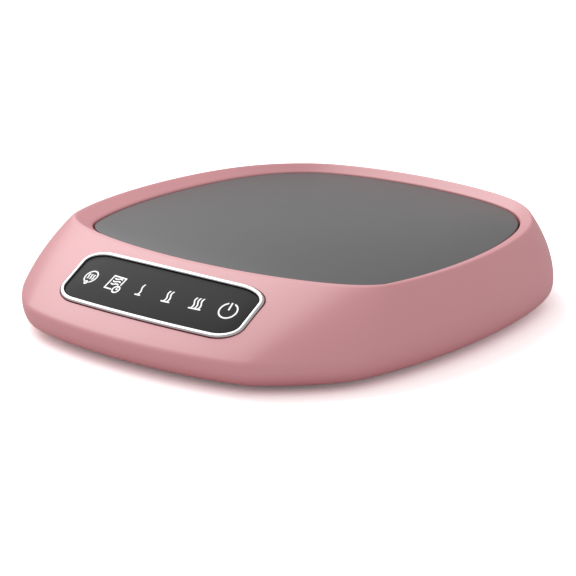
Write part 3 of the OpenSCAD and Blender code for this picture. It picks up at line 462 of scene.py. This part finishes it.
def grained(size, strength, depth, detail=3.0, stretch=(1, 1, 1)):
    return lambda tree: (noise(tree, size, detail, stretch), strength, depth)


# %% [markdown]
# The casing's pink is a satin lacquer: a pale rose base with a soft clear sheen over
# it. Up close it has a very fine orange peel, and its gloss drifts slightly with handling.

# %% The casing's satin pink
ROSE = (0.84, 0.255, 0.29, 1.0)
finishes = {}
finishes["housing_plastic"] = new_finish(
    "SatinRoseLacquer",
    mottled(ROSE, 30 * mm, 0.02),
    rough_between(0.48, 0.54, 18 * mm),
    {"IOR": 2.0, "Specular IOR Level": 1.0, "Coat Weight": 0.4, "Coat Roughness": 0.5},
    grained(0.45 * mm, 0.12, 0.02 * mm),
)
finishes["base_plastic"] = new_finish(
    "SparkTexturedRose",
    mottled(tone(ROSE, 0.86), 12 * mm, 0.03),
    rough_between(0.55, 0.68, 9 * mm),
    {},
    grained(0.5 * mm, 0.5, 0.06 * mm),
)

# %% [markdown]
# The plate is tempered glass, printed grey on its back and acid-etched on its face, so
# it spreads reflections. The touch panel is a near-black window with a soft sheen, and
# its signs are white ink with a little painted glow added, which stands in for light
# shining through them from behind.

# %% Glass and panel
SLATE = (0.135, 0.137, 0.14, 1.0)
finishes["plate_glass"] = new_finish(
    "EtchedGreyGlass",
    mottled(SLATE, 25 * mm, 0.02),
    rough_between(0.40, 0.46, 12 * mm),
    {"Specular IOR Level": 0.5},
    grained(0.25 * mm, 0.08, 0.01 * mm),
)
finishes["panel_gloss"] = new_finish(
    "BlackWindow",
    mottled((0.045, 0.0435, 0.0435, 1.0), 10 * mm, 0.05),
    rough_between(0.34, 0.38, 14 * mm),
    {"Specular IOR Level": 0.08},
    grained(6 * mm, 0.05, 0.02 * mm, 1.0),
)
# The signs' white ink carries a painted glow: its emission makes the ink give a little light of its
# own.
finishes["icon_white"] = new_finish(
    "WhiteInkPaintedGlow",
    mottled((0.86, 0.86, 0.86, 1.0), 0.6 * mm, 0.03),
    rough_between(0.42, 0.5, 1 * mm),
    {"Emission Color": (1.0, 1.0, 1.0, 1.0), "Emission Strength": 0.45},
    grained(0.12 * mm, 0.1, 0.01 * mm),
)

# %% [markdown]
# The rest are the metals, rubbers and plastics inside and underneath. Drawn metal has
# fine lines along one direction, felt and rubber have a coarser grain, and circuit
# boards have a woven lift under their mask.

# %% The other finishes
def metal(name, colour, low, top, stretch=(1, 1, 1), grain_size=0.3 * mm):
    return new_finish(
        name, mottled(colour, 5 * mm, 0.03), rough_between(low, top, 3 * mm),
        {"Metallic": 1.0}, grained(grain_size, 0.15, 0.01 * mm, 2.0, stretch))


def moulded(name, colour, low, top, grain_size=0.4 * mm, strength=0.25):
    return new_finish(
        name, mottled(colour, 6 * mm, 0.06), rough_between(low, top, 4 * mm),
        {}, grained(grain_size, strength, 0.03 * mm))


finishes["bezel_chrome"] = metal(
    "PolishedChrome", (0.66, 0.66, 0.67, 1), 0.16, 0.22, (1, 1, 1), 2 * mm)
finishes["zinc_steel"] = metal("ZincPlate", (0.55, 0.56, 0.58, 1), 0.28, 0.4)
finishes["spring_steel"] = metal("DrawnSteel", (0.50, 0.50, 0.52, 1), 0.22, 0.32, (1, 1, 8))
finishes["plated_metal"] = metal("TinPlate", (0.66, 0.66, 0.63, 1), 0.2, 0.35)
finishes["contact_brass"] = metal("ContactBrass", (0.62, 0.43, 0.15, 1), 0.2, 0.32)
finishes["spreader_aluminium"] = metal(
    "MilledAluminium", (0.66, 0.67, 0.69, 1), 0.25, 0.4, (1, 20, 1))
finishes["foot_rubber"] = moulded("FootRubber", (0.022, 0.022, 0.023, 1), 0.62, 0.8, 0.5 * mm, 0.4)
finishes["gasket_rubber"] = moulded("SiliconeBlack", (0.012, 0.012, 0.012, 1), 0.5, 0.65)
finishes["carrier_plastic"] = moulded(
    "GlassFilledBlack", (0.03, 0.03, 0.032, 1), 0.45, 0.6, 0.7 * mm, 0.3)
finishes["black_plastic"] = moulded("MouldedBlack", (0.018, 0.018, 0.02, 1), 0.38, 0.5)
finishes["chip_resin"] = moulded("ChipResin", (0.02, 0.02, 0.022, 1), 0.5, 0.62, 0.2 * mm)
finishes["red_plastic"] = moulded("SwitchRed", (0.42, 0.03, 0.02, 1), 0.3, 0.42)
finishes["connector_nylon"] = moulded("NaturalNylon", (0.72, 0.68, 0.55, 1), 0.4, 0.52)
finishes["led_resin"] = moulded("LampResin", (0.80, 0.80, 0.70, 1), 0.12, 0.2, 0.6 * mm, 0.1)
finishes["heater_film"] = moulded("AmberFilm", (0.45, 0.19, 0.03, 1), 0.18, 0.3, 1.2 * mm, 0.2)
finishes["insulation_felt"] = moulded(
    "CeramicFelt", (0.70, 0.67, 0.58, 1), 0.85, 0.95, 0.6 * mm, 0.9)
finishes["board_green"] = moulded("BoardMask", (0.012, 0.12, 0.04, 1), 0.25, 0.38, 0.8 * mm, 0.2)
for colour_name, colour in {
    "red": (0.45, 0.02, 0.015, 1), "white": (0.78, 0.76, 0.68, 1),
    "black": (0.02, 0.02, 0.02, 1), "blue": (0.02, 0.07, 0.35, 1),
}.items():
    finishes[colour_name + "_wire"] = moulded(
        "Wire" + colour_name.title(), colour, 0.4, 0.5, 0.5 * mm, 0.15)
print("Finishes:", len(finishes))

# %% [markdown]
# Every CAD node that stays in view takes the finish of its own material slot.

# %% Finishes on the CAD nodes
slot_of = {s["node"]: s["material_slot"] for s in frame["record"]["subparts"]}
for node_name, node in frame["nodes"].items():
    node.data.materials.clear()
    node.data.materials.append(finishes[slot_of[node_name]])
print("Dressed", len(slot_of), "CAD nodes")


# %% Putting a finished mesh in the scene
def add_piece(name, mesh, slot, body, *replaced):
    """Shows a mesh as a piece that rides on a body and stands for CAD nodes."""
    piece = bpy.data.objects.new(name, mesh)
    bpy.context.scene.collection.objects.link(piece)
    mesh.materials.clear()
    mesh.materials.append(finishes[slot])
    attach(piece, body)
    if replaced:
        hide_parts(*replaced)
    size = [round((max(c) - min(c)) / mm, 1) for c in zip(*(v.co for v in mesh.vertices))]
    print(f"{name}: {len(mesh.polygons)} faces, {size} mm")
    return piece


def skin(bm, rings, closed):
    """Faces between rings of points, and the rings' own vertices."""
    loops = [[bm.verts.new(p) for p in ring] for ring in rings]
    pairs = list(zip(loops, loops[1:]))
    if closed:
        pairs.append((loops[-1], loops[0]))
    for low, up in pairs:
        for j in range(len(low)):
            k = (j + 1) % len(low)
            bm.faces.new((low[j], low[k], up[k], up[j]))
    return loops


def mesh_from_rings(name, rings, capped=False, sharp=0.6):
    """A skin over rings of points. It closes on itself, or is capped at both ends."""
    bm = bmesh.new()
    loops = skin(bm, rings, closed=not capped)
    if capped:
        bm.faces.new(list(reversed(loops[0])))
        bm.faces.new(loops[-1])
    return mesh_from_bmesh(name, bm, sharp)


def mesh_from_bmesh(name, bm, sharp=0.6):
    bmesh.ops.recalc_face_normals(bm, faces=bm.faces)
    mesh = bpy.data.meshes.new(name)
    bm.to_mesh(mesh)
    bm.free()
    mesh.shade_smooth()
    mesh.set_sharp_from_angle(angle=sharp)
    return mesh


# %% [markdown]
# The control panel lies in the sloping front. The face bends back towards its ends, so
# the panel, its frame and their pocket are all laid out flat, in columns from left to
# right, and each column is then set on the bent face. The columns' ends hang a little
# lower than their middle, so that the panel's long edges arch as the face does.

# %% Laying things on the bent front face
panel_place = 0.59
bezel_l, bezel_h, bezel_w = 66.2 * mm, 19.6 * mm, 1.3 * mm
upper_corner, lower_corner = (9.6 * mm, 5.4 * mm), (7.8 * mm, 5.2 * mm)
bezel_bow = 0.3 * mm
panel_arch = 1.3 * mm
bezel_proud = 0.45 * mm
panel_t, panel_sunk, panel_gap = 1.2 * mm, 0.1 * mm, 0.2 * mm
ledge_w = 2.2 * mm
pocket_n = -panel_sunk - panel_t

face_run = OUTLINES["Base"]["front"] - OUTLINES["Crest"]["front"]
face_angle = math.atan2(crest_z - belt_z, face_run)
up_slope = Vector((0, math.cos(face_angle), math.sin(face_angle)))
out_of_face = Vector((0, -math.sin(face_angle), math.cos(face_angle)))
face_waves = [b + (c - b) * panel_place for b, c in zip(base_waves, crest_waves)]
face_inset = outer_wall(panel_place)[1]
front = -math.pi / 2
panel_middle = Vector((0, -(reach(face_waves, front) - face_inset), outer_wall(panel_place)[2]))
bend_points = [
    outline_point(face_waves, face_inset, front + math.radians(turn / 4)) for turn in range(0, 121)
]


def bend(x):
    """How far the face has gone back at x."""
    x = abs(x)
    for (x0, y0), (x1, y1) in zip(bend_points, bend_points[1:]):
        if x <= x1:
            return y0 + (y1 - y0) * (x - x0) / (x1 - x0) - panel_middle.y
    return bend_points[-1][1] - panel_middle.y


def on_face(x, s, n):
    """A point on the bent face: x along it, s up the slope, n out of it."""
    hang = panel_arch * (2 * x / bezel_l) ** 2
    return panel_middle + Vector((x, bend(x), 0)) + up_slope * (s - hang) + out_of_face * n


def corner_fall(from_end, corner):
    """How far a corner's edge has fallen at a distance from the shape's end."""
    length, height = corner
    return height * (1 - math.sqrt(1 - max(0, 1 - from_end / length) ** 2))


def panel_columns(inset, corner_steps=16, side_steps=40):
    """Columns (x, reach up, reach down) of the frame's shape, drawn in by the inset."""
    length, height = bezel_l - 2 * inset, bezel_h - 2 * inset
    upper, lower = ([size - inset for size in corner] for corner in (upper_corner, lower_corner))
    left = [
        upper[0] * (1 - math.cos(math.pi / 2 * i / corner_steps)) for i in range(corner_steps + 1)
    ]
    flat = length - 2 * upper[0]
    starts = left + [upper[0] + flat * i / side_steps for i in range(1, side_steps)]
    starts += [length - d for d in reversed(left)]
    columns = []
    for d in starts:
        x = d - length / 2
        from_end = min(d, length - d)
        swell = bezel_bow * (1 - (2 * x / length) ** 2)
        columns.append((
            x,
            height / 2 - corner_fall(from_end, upper) + swell,
            height / 2 - corner_fall(from_end, lower) + swell,
        ))
    return columns


def face_ring(inset, n):
    """The frame's shape on the face: its lower edge to the right, its upper edge back."""
    columns = panel_columns(inset)
    lower = [on_face(x, -down, n) for x, up, down in columns]
    return lower + [on_face(x, up, n) for x, up, down in reversed(columns)]


def bent_solid(name, layers, sharp=0.7):
    """A solid from layers of (inset, n). Strips close it, so that its faces can bend."""
    bm = bmesh.new()
    loops = skin(bm, [face_ring(*layer) for layer in layers], closed=False)
    for loop in (loops[0], loops[-1]):
        for i in range(len(loop) // 2 - 1):
            bm.faces.new((loop[i], loop[i + 1], loop[-i - 2], loop[-i - 1]))
    return mesh_from_bmesh(name, bm, sharp)


print("Front face slopes", round(math.degrees(face_angle), 1), "degrees")

# %% [markdown]
# Cutting the panel's pocket is a boolean: the tidy way to let a rounded, bent recess
# into a smooth shell, because the shell's own rows and columns needn't follow it. The
# inside has what a moulded top has: a ledge under the panel, a screw boss and a rib at
# each corner, two bosses for the control board and a pad behind the power inlet.

# %% The casing's shell, before its pocket and holes are cut
chain = point_chain("CasingStations", stations)
sweep_inputs = {"Columns": 240, "Finish": finishes["housing_plastic"]}
for outline, sizes in OUTLINES.items():
    sweep_inputs.update({f"{outline} {size}": value for size, value in sizes.items()})
shell_mesh = grown_mesh("casing_shell", sweep, chain, sweep_inputs)


def face_outwards(mesh):
    bm = bmesh.new()
    bm.from_mesh(mesh)
    bmesh.ops.remove_doubles(bm, verts=bm.verts, dist=weld_distance)
    bmesh.ops.recalc_face_normals(bm, faces=bm.faces)
    volume = bm.calc_volume(signed=True)
    bm.to_mesh(mesh)
    bm.free()
    return volume


def scratch(name, mesh):
    tool = bpy.data.objects.new(name, mesh)
    bpy.context.scene.collection.objects.link(tool)
    return tool


def carved(mesh, cuts, operation="DIFFERENCE"):
    """The mesh with each of the cutting meshes taken out of it, or joined to it."""
    target = scratch("carving", mesh)
    tools = [scratch("tool", cut) for cut in cuts]
    for tool in tools:
        step = target.modifiers.new("Carve", "BOOLEAN")
        step.operation = operation
        step.solver = "EXACT"
        step.object = tool
    graph = bpy.context.evaluated_depsgraph_get()
    result = bpy.data.meshes.new_from_object(target.evaluated_get(graph))
    for item in [target] + tools:
        bpy.data.objects.remove(item)
    return result


def turned(name, profile, centre, axis, segments=96, sharp=0.6):
    """A turned piece: (radius, distance) points carried round an axis from centre."""
    axis = Vector(axis).normalized()
    aside = axis.orthogonal().normalized()
    across = axis.cross(aside)
    rings = []
    turns = [math.tau * k / segments for k in range(segments)]
    for radius, along in profile:
        middle = Vector(centre) + axis * along
        rings.append([
            middle + (aside * math.cos(a) + across * math.sin(a)) * radius for a in turns
        ])
    return mesh_from_rings(name, rings, capped=True, sharp=sharp)


def joined(name, meshes):
    """Several meshes as one, without welding them together."""
    bm = bmesh.new()
    for mesh in meshes:
        bm.from_mesh(mesh)
    result = bpy.data.meshes.new(name)
    bm.to_mesh(result)
    bm.free()
    return result


def rod(radius, length, centre, axis=(0, 0, 1)):
    return turned("rod", [(radius, 0), (radius, length)], centre, axis, 48)


def box(size, corner, turn):
    """A block of the given size, whose corner is set before turning it about Z."""
    bm = bmesh.new()
    bmesh.ops.create_cube(bm, size=1)
    for vertex in bm.verts:
        vertex.co = Vector((v + 0.5) * s + c for v, s, c in zip(vertex.co, size, corner))
    bmesh.ops.transform(bm, matrix=turn, verts=bm.verts)
    return mesh_from_bmesh("box", bm)


def in_cm3(volume):
    return round(volume / mm**3 / 1000, 1)


print("Shell volume", in_cm3(face_outwards(shell_mesh)), "cm3 before cuts")

# %% Bosses, ribs and the pad behind the inlet
boss_inset = 14.5 * mm
tower_top_z, boss_top_z, rib_top_z = floor_z + 2.8 * mm, pressed_z - 0.6 * mm, belt_z + 1.1 * mm
rear = (0, 1, 0)
flange_r, thread_r, flange_t = 4.7 * mm, 3.8 * mm, 1.1 * mm
inlet_z = belt_z
inlet_face_y = OUTLINES["Base"]["rear"] - flange_t
inlet_pad_y = inlet_face_y - 2.4 * mm
control_screw_x = bezel_l / 2 + 1.5 * mm
board_top_n = -6 * mm
boss_r, control_boss_r, control_boss_l = 3.5 * mm, 2.5 * mm, 3.6 * mm
rib_t, rib_room = 1.8 * mm, 1.7 * mm
inlet_pad_r, inlet_pad_t = flange_r + 1.2 * mm, 1.8 * mm
ledge_out, ledge_low_n, ledge_top_n = -2 * mm, -3.2 * mm, -1.1 * mm

corners = []
for side in (1, -1):
    for turn in (-45, 45):
        x, y = outline_point(base_waves, boss_inset, math.radians(turn))
        corners.append((side * x, y, math.radians(turn if side > 0 else 180 - turn)))
bosses = [rod(boss_r, boss_top_z - tower_top_z, (x, y, tower_top_z)) for x, y, turn in corners]
ribs = [
    box(
        (boss_inset - rib_room, rib_t, rib_top_z - tower_top_z), (0, -rib_t / 2, 0),
        Matrix.Translation((x, y, tower_top_z)) @ Matrix.Rotation(turn, 4, "Z"),
    )
    for x, y, turn in corners
]
control_places = [
    panel_middle + Vector((side * control_screw_x, 0, 0)) + out_of_face * board_top_n
    for side in (-1, 1)
]
bosses += [rod(control_boss_r, control_boss_l, place, out_of_face) for place in control_places]
bosses += [rod(inlet_pad_r, inlet_pad_t, (0, inlet_pad_y, inlet_z), rear)]
ledge = bent_solid("ledge", [(ledge_out, ledge_low_n), (ledge_out, ledge_top_n)])
shell_mesh = carved(shell_mesh, [joined("bosses", bosses), joined("ribs", ribs), ledge], "UNION")
print("Shell volume", in_cm3(face_outwards(shell_mesh)), "cm3 with bosses and ribs")

# %% The pocket, the window and the holes
window_inset = bezel_w + ledge_w
pocket_gap = 0.35 * mm
cut_top_n, window_low_n = 3 * mm, -4.2 * mm
screw_hole_r, screw_hole_l = 1.25 * mm, boss_top_z - tower_top_z + 0.4 * mm
control_hole_r, control_hole_l = 0.95 * mm, 4.2 * mm
flange_hole_r, flange_hole_l = flange_r + 0.25 * mm, 8 * mm
thread_hole_r, thread_hole_l = thread_r + 0.15 * mm, 9 * mm
nut_room_r, nut_room_l = 6.1 * mm, 3 * mm
start = 1 * mm
first_cuts = [bent_solid("pocket", [(-pocket_gap, pocket_n), (-pocket_gap, cut_top_n)])]
first_cuts += [rod(flange_hole_r, flange_hole_l, (0, inlet_face_y, inlet_z), rear)]
first_cuts += [rod(screw_hole_r, screw_hole_l, (x, y, tower_top_z - start)) for x, y, turn in corners]
first_cuts += [
    rod(control_hole_r, control_hole_l, place - out_of_face * start, out_of_face)
    for place in control_places
]
second_cuts = [bent_solid("window", [(window_inset, window_low_n), (window_inset, cut_top_n)])]
second_cuts += [rod(thread_hole_r, thread_hole_l, (0, inlet_pad_y - start, inlet_z), rear)]
nut_room = rod(nut_room_r, nut_room_l, (0, inlet_pad_y - nut_room_l, inlet_z), rear)
cuts = [joined("first_cuts", first_cuts), joined("second_cuts", second_cuts), nut_room]
shell_mesh = carved(shell_mesh, cuts)
print("Shell volume", in_cm3(face_outwards(shell_mesh)), "cm3 after cuts")
shell_mesh.shade_smooth()
shell_mesh.set_sharp_from_angle(angle=0.7)
add_piece("casing_shell", shell_mesh, "housing_plastic", "casing", "upper_housing")

# %% [markdown]
# The frame round the panel is a plated trim with a rounded top. It is the panel's own
# shape at each point of a small cross-section, bent with the face. The gap round it is a
# little wider than the CAD model's, so that it still shows at the photograph's size.

# %% The panel's frame
edge = 0.45 * mm
frame_section = [(0, pocket_n), (0, bezel_proud - edge)]
frame_section += [
    (edge - edge * math.cos(a), bezel_proud - edge + edge * math.sin(a))
    for a in (math.radians(15 * i) for i in range(1, 7))
]
inner_edge = 0.3 * mm
frame_section += [
    (
        bezel_w - inner_edge + inner_edge * math.sin(a),
        bezel_proud - inner_edge + inner_edge * math.cos(a),
    )
    for a in (math.radians(15 * i) for i in range(0, 7))
]
frame_section += [(bezel_w, pocket_n)]
frame_rings = [face_ring(*point) for point in frame_section]
frame_mesh = mesh_from_rings("panel_frame", frame_rings, sharp=0.9)
add_piece("panel_frame", frame_mesh, "bezel_chrome", "casing", "panel_bezel")

# %% [markdown]
# The touch window is one thin pane, flush with the casing and slightly rounded at its
# edge so that it catches a fine line of light.

# %% The touch window
pane_inset = bezel_w + panel_gap
round_over = 0.15 * mm
pane_section = [(pane_inset, pocket_n), (pane_inset, -panel_sunk - round_over)]
pane_section += [
    (
        pane_inset + round_over - round_over * math.cos(a),
        -panel_sunk - round_over + round_over * math.sin(a),
    )
    for a in (math.radians(22.5 * i) for i in range(1, 5))
]
pane_mesh = bent_solid("touch_window", pane_section)
add_piece("touch_window", pane_mesh, "panel_gloss", "casing", "touch_panel")

# %% [markdown]
# The glass is cut to the recess's outline, drawn in by a narrow gap. Its edge is
# ground: a straight side with a fine chamfer above and below that shows as a light line
# round the plate.

# %% The glass plate
columns = 360


def plan_ring(inset, z):
    return [
        Vector((*outline_point(recess_waves, inset, math.tau * k / columns), z))
        for k in range(columns)
    ]


chamfer = 0.3 * mm
glass_rings = [
    plan_ring(plate_gap + chamfer, glass_z),
    plan_ring(plate_gap, glass_z + chamfer),
    plan_ring(plate_gap, glass_top_z - chamfer),
    plan_ring(plate_gap + 0.3 * chamfer, glass_top_z - 0.3 * chamfer),
    plan_ring(plate_gap + chamfer, glass_top_z),
]
glass_mesh = mesh_from_rings("hot_plate_glass", glass_rings, capped=True, sharp=0.5)
add_piece("hot_plate_glass", glass_mesh, "plate_glass", "hot_plate", "plate_glass")

# %% [markdown]
# Four rubber feet stand under the corners. They are the same turned foot four times,
# so a tiny Geometry Nodes tree places one foot at each of four points.

# %% A tree that sets a piece at each point
def places_tree():
    group = bpy.data.node_groups.new("SetAtPoints", "GeometryNodeTree")
    face = group.interface
    face.new_socket("Places", in_out="INPUT", socket_type="NodeSocketGeometry")
    face.new_socket("Piece", in_out="INPUT", socket_type="NodeSocketObject")
    face.new_socket("Finish", in_out="INPUT", socket_type="NodeSocketMaterial")
    face.new_socket("Pieces", in_out="OUTPUT", socket_type="NodeSocketGeometry")
    tree = Tree(group)
    entry = tree.node("NodeGroupInput", output=None)
    given = {s.name: Value(group, s) for s in entry.outputs if s.name}
    shape = tree.node("GeometryNodeObjectInfo", {}, {"Object": given["Piece"]}, "Geometry")
    placed = tree.node("GeometryNodeInstanceOnPoints", {}, {
        "Points": given["Places"], "Instance": shape}, "Instances")
    real = tree.node("GeometryNodeRealizeInstances", {}, {"Geometry": placed}, "Geometry")
    done = tree.node("GeometryNodeSetMaterial", {}, {
        "Geometry": real, "Material": given["Finish"]}, "Geometry")
    leave = tree.node("NodeGroupOutput", output=None)
    group.links.new(done.socket, leave.inputs["Pieces"])
    return group


set_at_points = places_tree()


def repeated(name, mesh, places, slot):
    """One mesh set at several places, as a single plain mesh."""
    pattern = scratch(name + "_pattern", mesh)
    result = grown_mesh(name, set_at_points, point_chain(name + "_places", places), {
        "Piece": pattern, "Finish": finishes[slot]})
    bpy.data.objects.remove(pattern)
    return result


foot_r = 5.5 * mm
foot_top = 2.4 * mm
foot_edge = 0.6 * mm
dimple_r, dimple_rim_r, dimple_depth = 1.6 * mm, 2.2 * mm, 0.25 * mm
foot_chamfer = 0.2 * mm
foot_profile = [(dimple_r, dimple_depth), (dimple_rim_r, 0), (foot_r - foot_edge, 0)]
foot_profile += [
    (foot_r - foot_edge + foot_edge * math.sin(a), foot_edge - foot_edge * math.cos(a))
    for a in (math.radians(18 * i) for i in range(1, 6))
]
foot_profile += [(foot_r, foot_top - foot_chamfer), (foot_r - foot_chamfer, foot_top)]
foot_mesh = turned("foot", foot_profile, (0, 0, 0), (0, 0, 1), 64)
feet_mesh = repeated("feet", foot_mesh, [(x, y, 0) for x, y, turn in corners], "foot_rubber")
add_piece("feet", feet_mesh, "foot_rubber", "casing", "rubber_feet")

# %% [markdown]
# The power inlet is a turned jack with a softly rounded flange and a countersunk mouth.

# %% The power inlet
bore_r = 2.9 * mm
inlet_depth = 8.6 * mm
body_l = inlet_depth + 0.8 * mm
round_r = 0.4 * mm
mouth = 0.5 * mm
jack_profile = [
    (bore_r, -inlet_depth + flange_t), (bore_r, flange_t - mouth), (bore_r + mouth, flange_t),
]
jack_profile += [
    (flange_r - round_r + round_r * math.sin(a), flange_t - round_r + round_r * math.cos(a))
    for a in (math.radians(18 * i) for i in range(0, 6))
]
jack_profile += [(flange_r, 0), (thread_r, 0), (thread_r, flange_t - body_l)]
jack_mesh = turned("inlet_jack", jack_profile, (0, inlet_face_y, inlet_z), rear, 96)
add_piece("inlet_jack", jack_mesh, "black_plastic", "casing", "dc_socket")

# %% [markdown]
# The camera stands at the photograph's angle. Its distance and lens were worked out
# from the outlines of the casing and the plate.

# %% Camera
view_azimuth, view_elevation = math.radians(38.6), math.radians(17.66)
camera_distance = 0.704
look_at = Vector((0, 0.35 * mm, 0))
focal_px, frame_px = 2386, 576
shift_right_px, shift_down_px = 3.69, 18.54
sensor = 36
back = Vector((
    math.sin(view_azimuth) * math.cos(view_elevation),
    -math.cos(view_azimuth) * math.cos(view_elevation),
    math.sin(view_elevation),
))
right = Vector((math.cos(view_azimuth), math.sin(view_azimuth), 0))
up = back.cross(right)
lens = bpy.data.cameras.new("Camera")
lens.sensor_width = sensor
lens.lens = focal_px / frame_px * sensor
lens.clip_start = 0.01
lens.clip_end = 20
camera = bpy.data.objects.new("Camera", lens)
bpy.context.scene.collection.objects.link(camera)
aim = -back - right * (shift_right_px / focal_px) + up * (shift_down_px / focal_px)
camera.location = look_at + back * camera_distance
camera.rotation_euler = aim.to_track_quat("-Z", "Y").to_euler()
bpy.context.scene.camera = camera
print("Lens", round(lens.lens, 1), "mm at", camera_distance, "m")

# %% [markdown]
# The light is a product studio's: a broad, even room that fills every side, and one
# large softbox high on the left that washes the front slope.

# %% World and lamps
white = (1.0, 1.0, 1.0, 1.0)
fill_level = 0.565
world = bpy.data.worlds.new("Studio")
bpy.context.scene.world = world
world.use_nodes = True
sky = Tree(world.node_tree)


def seen_directly(tree):
    """1 for the rays that leave the camera, which show the background itself."""
    path = tree.node("ShaderNodeLightPath", output=None)
    return Value(tree.tree, path.outputs["Is Camera Ray"])


backdrop_light = sky.node("ShaderNodeBackground", {}, {
    "Color": white, "Strength": seen_directly(sky) * (1.0 - fill_level) + fill_level}, "Background")
sky_out = sky.node("ShaderNodeOutputWorld", output=None)
sky.tree.links.new(backdrop_light.socket, sky_out.inputs["Surface"])


def softbox(name, direction, distance, size, watts, target=(0, 0, 0.012)):
    lamp = bpy.data.lights.new(name, "AREA")
    lamp.shape = "RECTANGLE"
    lamp.size, lamp.size_y = size
    lamp.energy = watts
    box = bpy.data.objects.new(name, lamp)
    bpy.context.scene.collection.objects.link(box)
    away = Vector(direction).normalized()
    box.location = Vector(target) + away * distance
    box.rotation_euler = (-away).to_track_quat("-Z", "Y").to_euler()
    return box


key_direction = (-0.68, 0.13, 0.72)
key_distance, key_size, key_watts = 0.9, (0.75, 0.75), 3.5
softbox("KeySoftbox", key_direction, key_distance, key_size, key_watts)

# %% [markdown]
# The floor is a wide sheet that looks white but still takes the warmer's shadow. The
# camera sees it brighter than paper, so that it stays white until the warmer keeps about
# half the light off it. To all other rays it is matt paper, so its bounced light is real.

# %% Floor
floor_half = 3.0
bm = bmesh.new()
floor_corners = [
    bm.verts.new((x * floor_half, y * floor_half, 0)) for x, y in ((-1, -1), (1, -1), (1, 1), (-1, 1))
]
bm.faces.new(floor_corners)
floor_mesh = bpy.data.meshes.new("studio_floor")
bm.to_mesh(floor_mesh)
bm.free()
floor = bpy.data.objects.new("studio_floor", floor_mesh)
bpy.context.scene.collection.objects.link(floor)
paper = bpy.data.materials.new("WhitePaper")
paper.use_nodes = True
sheet = Tree(paper.node_tree)
paper_white = 0.75
seen_white = 0.93
glow = 0.08
bounce = sheet.node("ShaderNodeBsdfDiffuse", {}, {"Color": (*[paper_white] * 3, 1)}, "BSDF")
shaded = sheet.node("ShaderNodeBsdfDiffuse", {}, {"Color": (*[seen_white] * 3, 1)}, "BSDF")
plain = sheet.node("ShaderNodeEmission", {}, {"Color": white, "Strength": glow}, "Emission")
doubled = sheet.node("ShaderNodeAddShader", {}, {0: shaded, 1: shaded}, "Shader")
seen = sheet.node("ShaderNodeAddShader", {}, {0: doubled, 1: plain}, "Shader")
both = sheet.node("ShaderNodeMixShader", {}, {
    0: seen_directly(sheet), 1: bounce, 2: seen}, "Shader")
sheet_out = sheet.node("ShaderNodeOutputMaterial", output=None)
sheet.tree.links.new(both.socket, sheet_out.inputs["Surface"])
floor_mesh.materials.append(paper)

# %% View settings
bpy.context.scene.view_settings.view_transform = "Standard"
